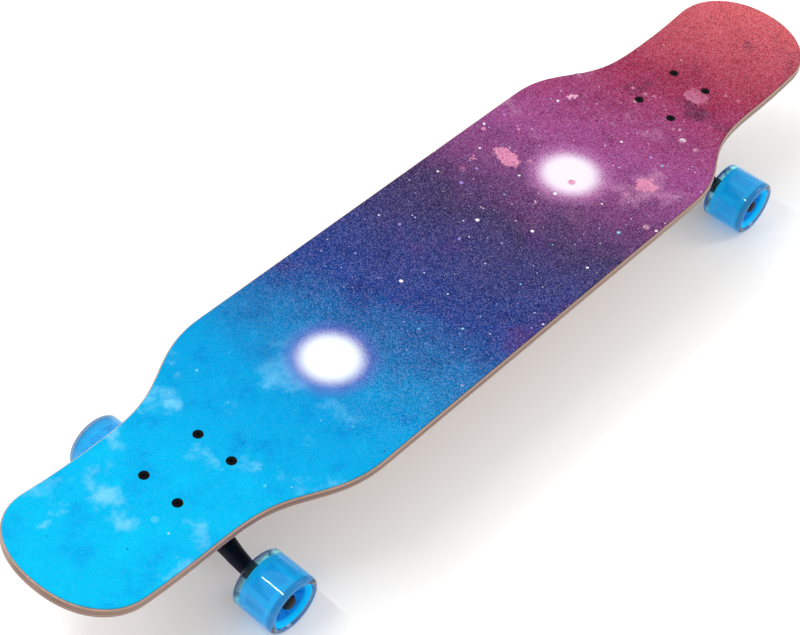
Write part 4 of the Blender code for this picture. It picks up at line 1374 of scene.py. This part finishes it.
class MakeBearings(bpy.types.Operator):
    """Bearings with races, seals and the spacers between them"""
    bl_idname = "longboard.make_bearings"
    bl_label = "Bearings"

    def execute(self, context):
        truck = context.scene.longboard_truck
        steel = shared("plated_steel", lambda: metal_finish("plated_steel", truck.steel, 0.24))
        seal = self.seal_finish(context.scene.longboard_wheel)
        half = BEARING_WIDE / 2
        bore = AXLE_R + LAYER_GAP
        chamfer = 0.4 * MM
        race_in, race_out = 6.1 * MM, 9.4 * MM
        sunk = 0.35 * MM
        section = [
            (half - chamfer, BEARING_R), (half, BEARING_R - chamfer), (half, race_out),
            (half - sunk, race_out), (half - sunk, race_in), (half, race_in), (half, bore + chamfer),
            (half - chamfer, bore),
        ]
        profile = section + [(-y, r) for y, r in reversed(section)]
        face = half - sunk - 0.05 * MM
        top = half - 0.12 * MM
        cover = [
            (face, race_in + 0.15 * MM), (top - 0.1 * MM, race_in + 0.15 * MM), (top, race_in + 0.4 * MM),
            (top, 7.2 * MM), (top - 0.15 * MM, 7.5 * MM), (top - 0.15 * MM, 8.6 * MM),
            (top, 8.9 * MM), (top - 0.1 * MM, race_out - 0.15 * MM), (face, race_out - 0.15 * MM),
        ]
        offset = (BEARING_APART + BEARING_WIDE) / 2
        for end in ENDS:
            for side in SIDES:
                body = f"wheel_{end}_{side}"
                for where, sign in (("inner", -1), ("outer", 1)):
                    place = wheel_frame(end, side) @ Matrix.Translation((0, sign * offset, 0))
                    if sign < 0:
                        place = place @ Matrix.Rotation(pi, 4, "X")
                    node = f"bearing_{where}_{end}_{side}"
                    races = turned(f"races_{node}", profile, even_angles(56), steel, 30.0, place)
                    finish_piece(races, body, "steel", node)
                    shield = turned(f"seal_{node}", cover, even_angles(56), seal, 30.0, place)
                    finish_piece(shield, body, "steel")
                repaint(f"bearing_spacer_{end}_{side}", steel)
        return {"FINISHED"}

    def seal_finish(self, look):
        finish = Finish("seal_rubber")
        place = finish.place()
        tone = wear(finish, look.shield, [c * 0.45 for c in look.shield], 0.7, 240.0)
        grain = finish.noise(place, 1500.0, 2.0)
        return finish.surface(
            Base_Color=tone, Roughness=0.42 + grain * 0.2, Normal=finish.bump(grain, 0.2, 0.0001)
        )


class MakeStage(bpy.types.Operator):
    """Pale floor, soft studio light and the camera"""
    bl_idname = "longboard.make_stage"
    bl_label = "Stage"

    def execute(self, context):
        look = context.scene.longboard_stage
        scene = context.scene
        bm = bmesh.new()
        corners = [(-1, -1), (1, -1), (1, 1), (-1, 1)]
        bm.faces.new([bm.verts.new((x * FLOOR_REACH, y * FLOOR_REACH, -FLOOR_DROP)) for x, y in corners])
        finish = Finish("studio_floor")
        mottle = finish.noise(finish.place(), 3.0, 3.0)
        tone = finish.mix(mottle * 0.12, look.floor, [c * 0.97 for c in look.floor])
        floor = to_object("studio_floor", bm, finish.surface(
            Base_Color=tone, Roughness=0.85, Emission_Color=tone, Emission_Strength=0.16,
        ))

        world = bpy.data.worlds.new("studio")
        scene.world = world
        world.use_nodes = True
        sky = world.node_tree.nodes["Background"]
        sky.inputs["Color"].default_value = (1.0, 1.0, 1.0, 1.0)
        sky.inputs["Strength"].default_value = look.sky

        for values in LIGHTS:
            self.light(*values)

        data = bpy.data.cameras.new("camera")
        data.lens = look.lens
        data.sensor_width = 36.0
        data.shift_x, data.shift_y = CAMERA_SHIFT
        data.clip_start = 0.05
        data.clip_end = 30.0
        camera = bpy.data.objects.new("camera", data)
        scene.collection.objects.link(camera)
        camera.location = CAMERA_PLACE
        camera.rotation_euler = [radians(turn) for turn in CAMERA_TURN]
        scene.camera = camera
        scene.view_settings.view_transform = "Standard"
        return {"FINISHED"}

    def light(self, name, place, wide, tall, power, shows):
        data = bpy.data.lights.new(name, "AREA")
        data.shape = "RECTANGLE"
        data.size = wide
        data.size_y = tall
        data.energy = power
        lamp = bpy.data.objects.new(name, data)
        bpy.context.scene.collection.objects.link(lamp)
        lamp.location = place
        back = Vector(place).normalized()
        across = Vector((0, 1, 0)).cross(back).normalized()
        lamp.rotation_euler = Matrix((across, back.cross(across), back)).transposed().to_euler()
        lamp.visible_glossy = shows


MAKERS = (
    MakeStage, MakeDeck, MakeGrip, MakeBolts, MakeCastings, MakeKingpins, MakeBushings, MakeAxles,
    MakeWheels, MakeBearings,
)
SETTINGS = {
    "longboard_board": BoardSettings,
    "longboard_truck": TruckSettings,
    "longboard_wheel": WheelSettings,
    "longboard_stage": StageSettings,
}


class LongboardPanel(bpy.types.Panel):
    """Lists the pieces and their settings"""
    bl_idname = "VIEW3D_PT_longboard"
    bl_label = "Dance longboard"
    bl_space_type = "VIEW_3D"
    bl_region_type = "UI"
    bl_category = "Longboard"

    def draw(self, context):
        layout = self.layout
        for maker in MAKERS:
            layout.operator(maker.bl_idname)
        for name, group_type in SETTINGS.items():
            box = layout.box()
            box.label(text=group_type.__doc__.rstrip("."))
            for key in group_type.__annotations__:
                box.prop(getattr(context.scene, name), key)


def register():
    for group_type in SETTINGS.values():
        bpy.utils.register_class(group_type)
    for name, group_type in SETTINGS.items():
        setattr(bpy.types.Scene, name, bpy.props.PointerProperty(type=group_type))
    for maker in MAKERS:
        bpy.utils.register_class(maker)
    bpy.utils.register_class(LongboardPanel)


def unregister():
    bpy.utils.unregister_class(LongboardPanel)
    for maker in reversed(MAKERS):
        bpy.utils.unregister_class(maker)
    for name in SETTINGS:
        delattr(bpy.types.Scene, name)
    for group_type in reversed(list(SETTINGS.values())):
        bpy.utils.unregister_class(group_type)


def main():
    register()
    for maker in MAKERS:
        area, name = maker.bl_idname.split(".")
        getattr(getattr(bpy.ops, area), name)()


if __name__ == "__main__":
    main()
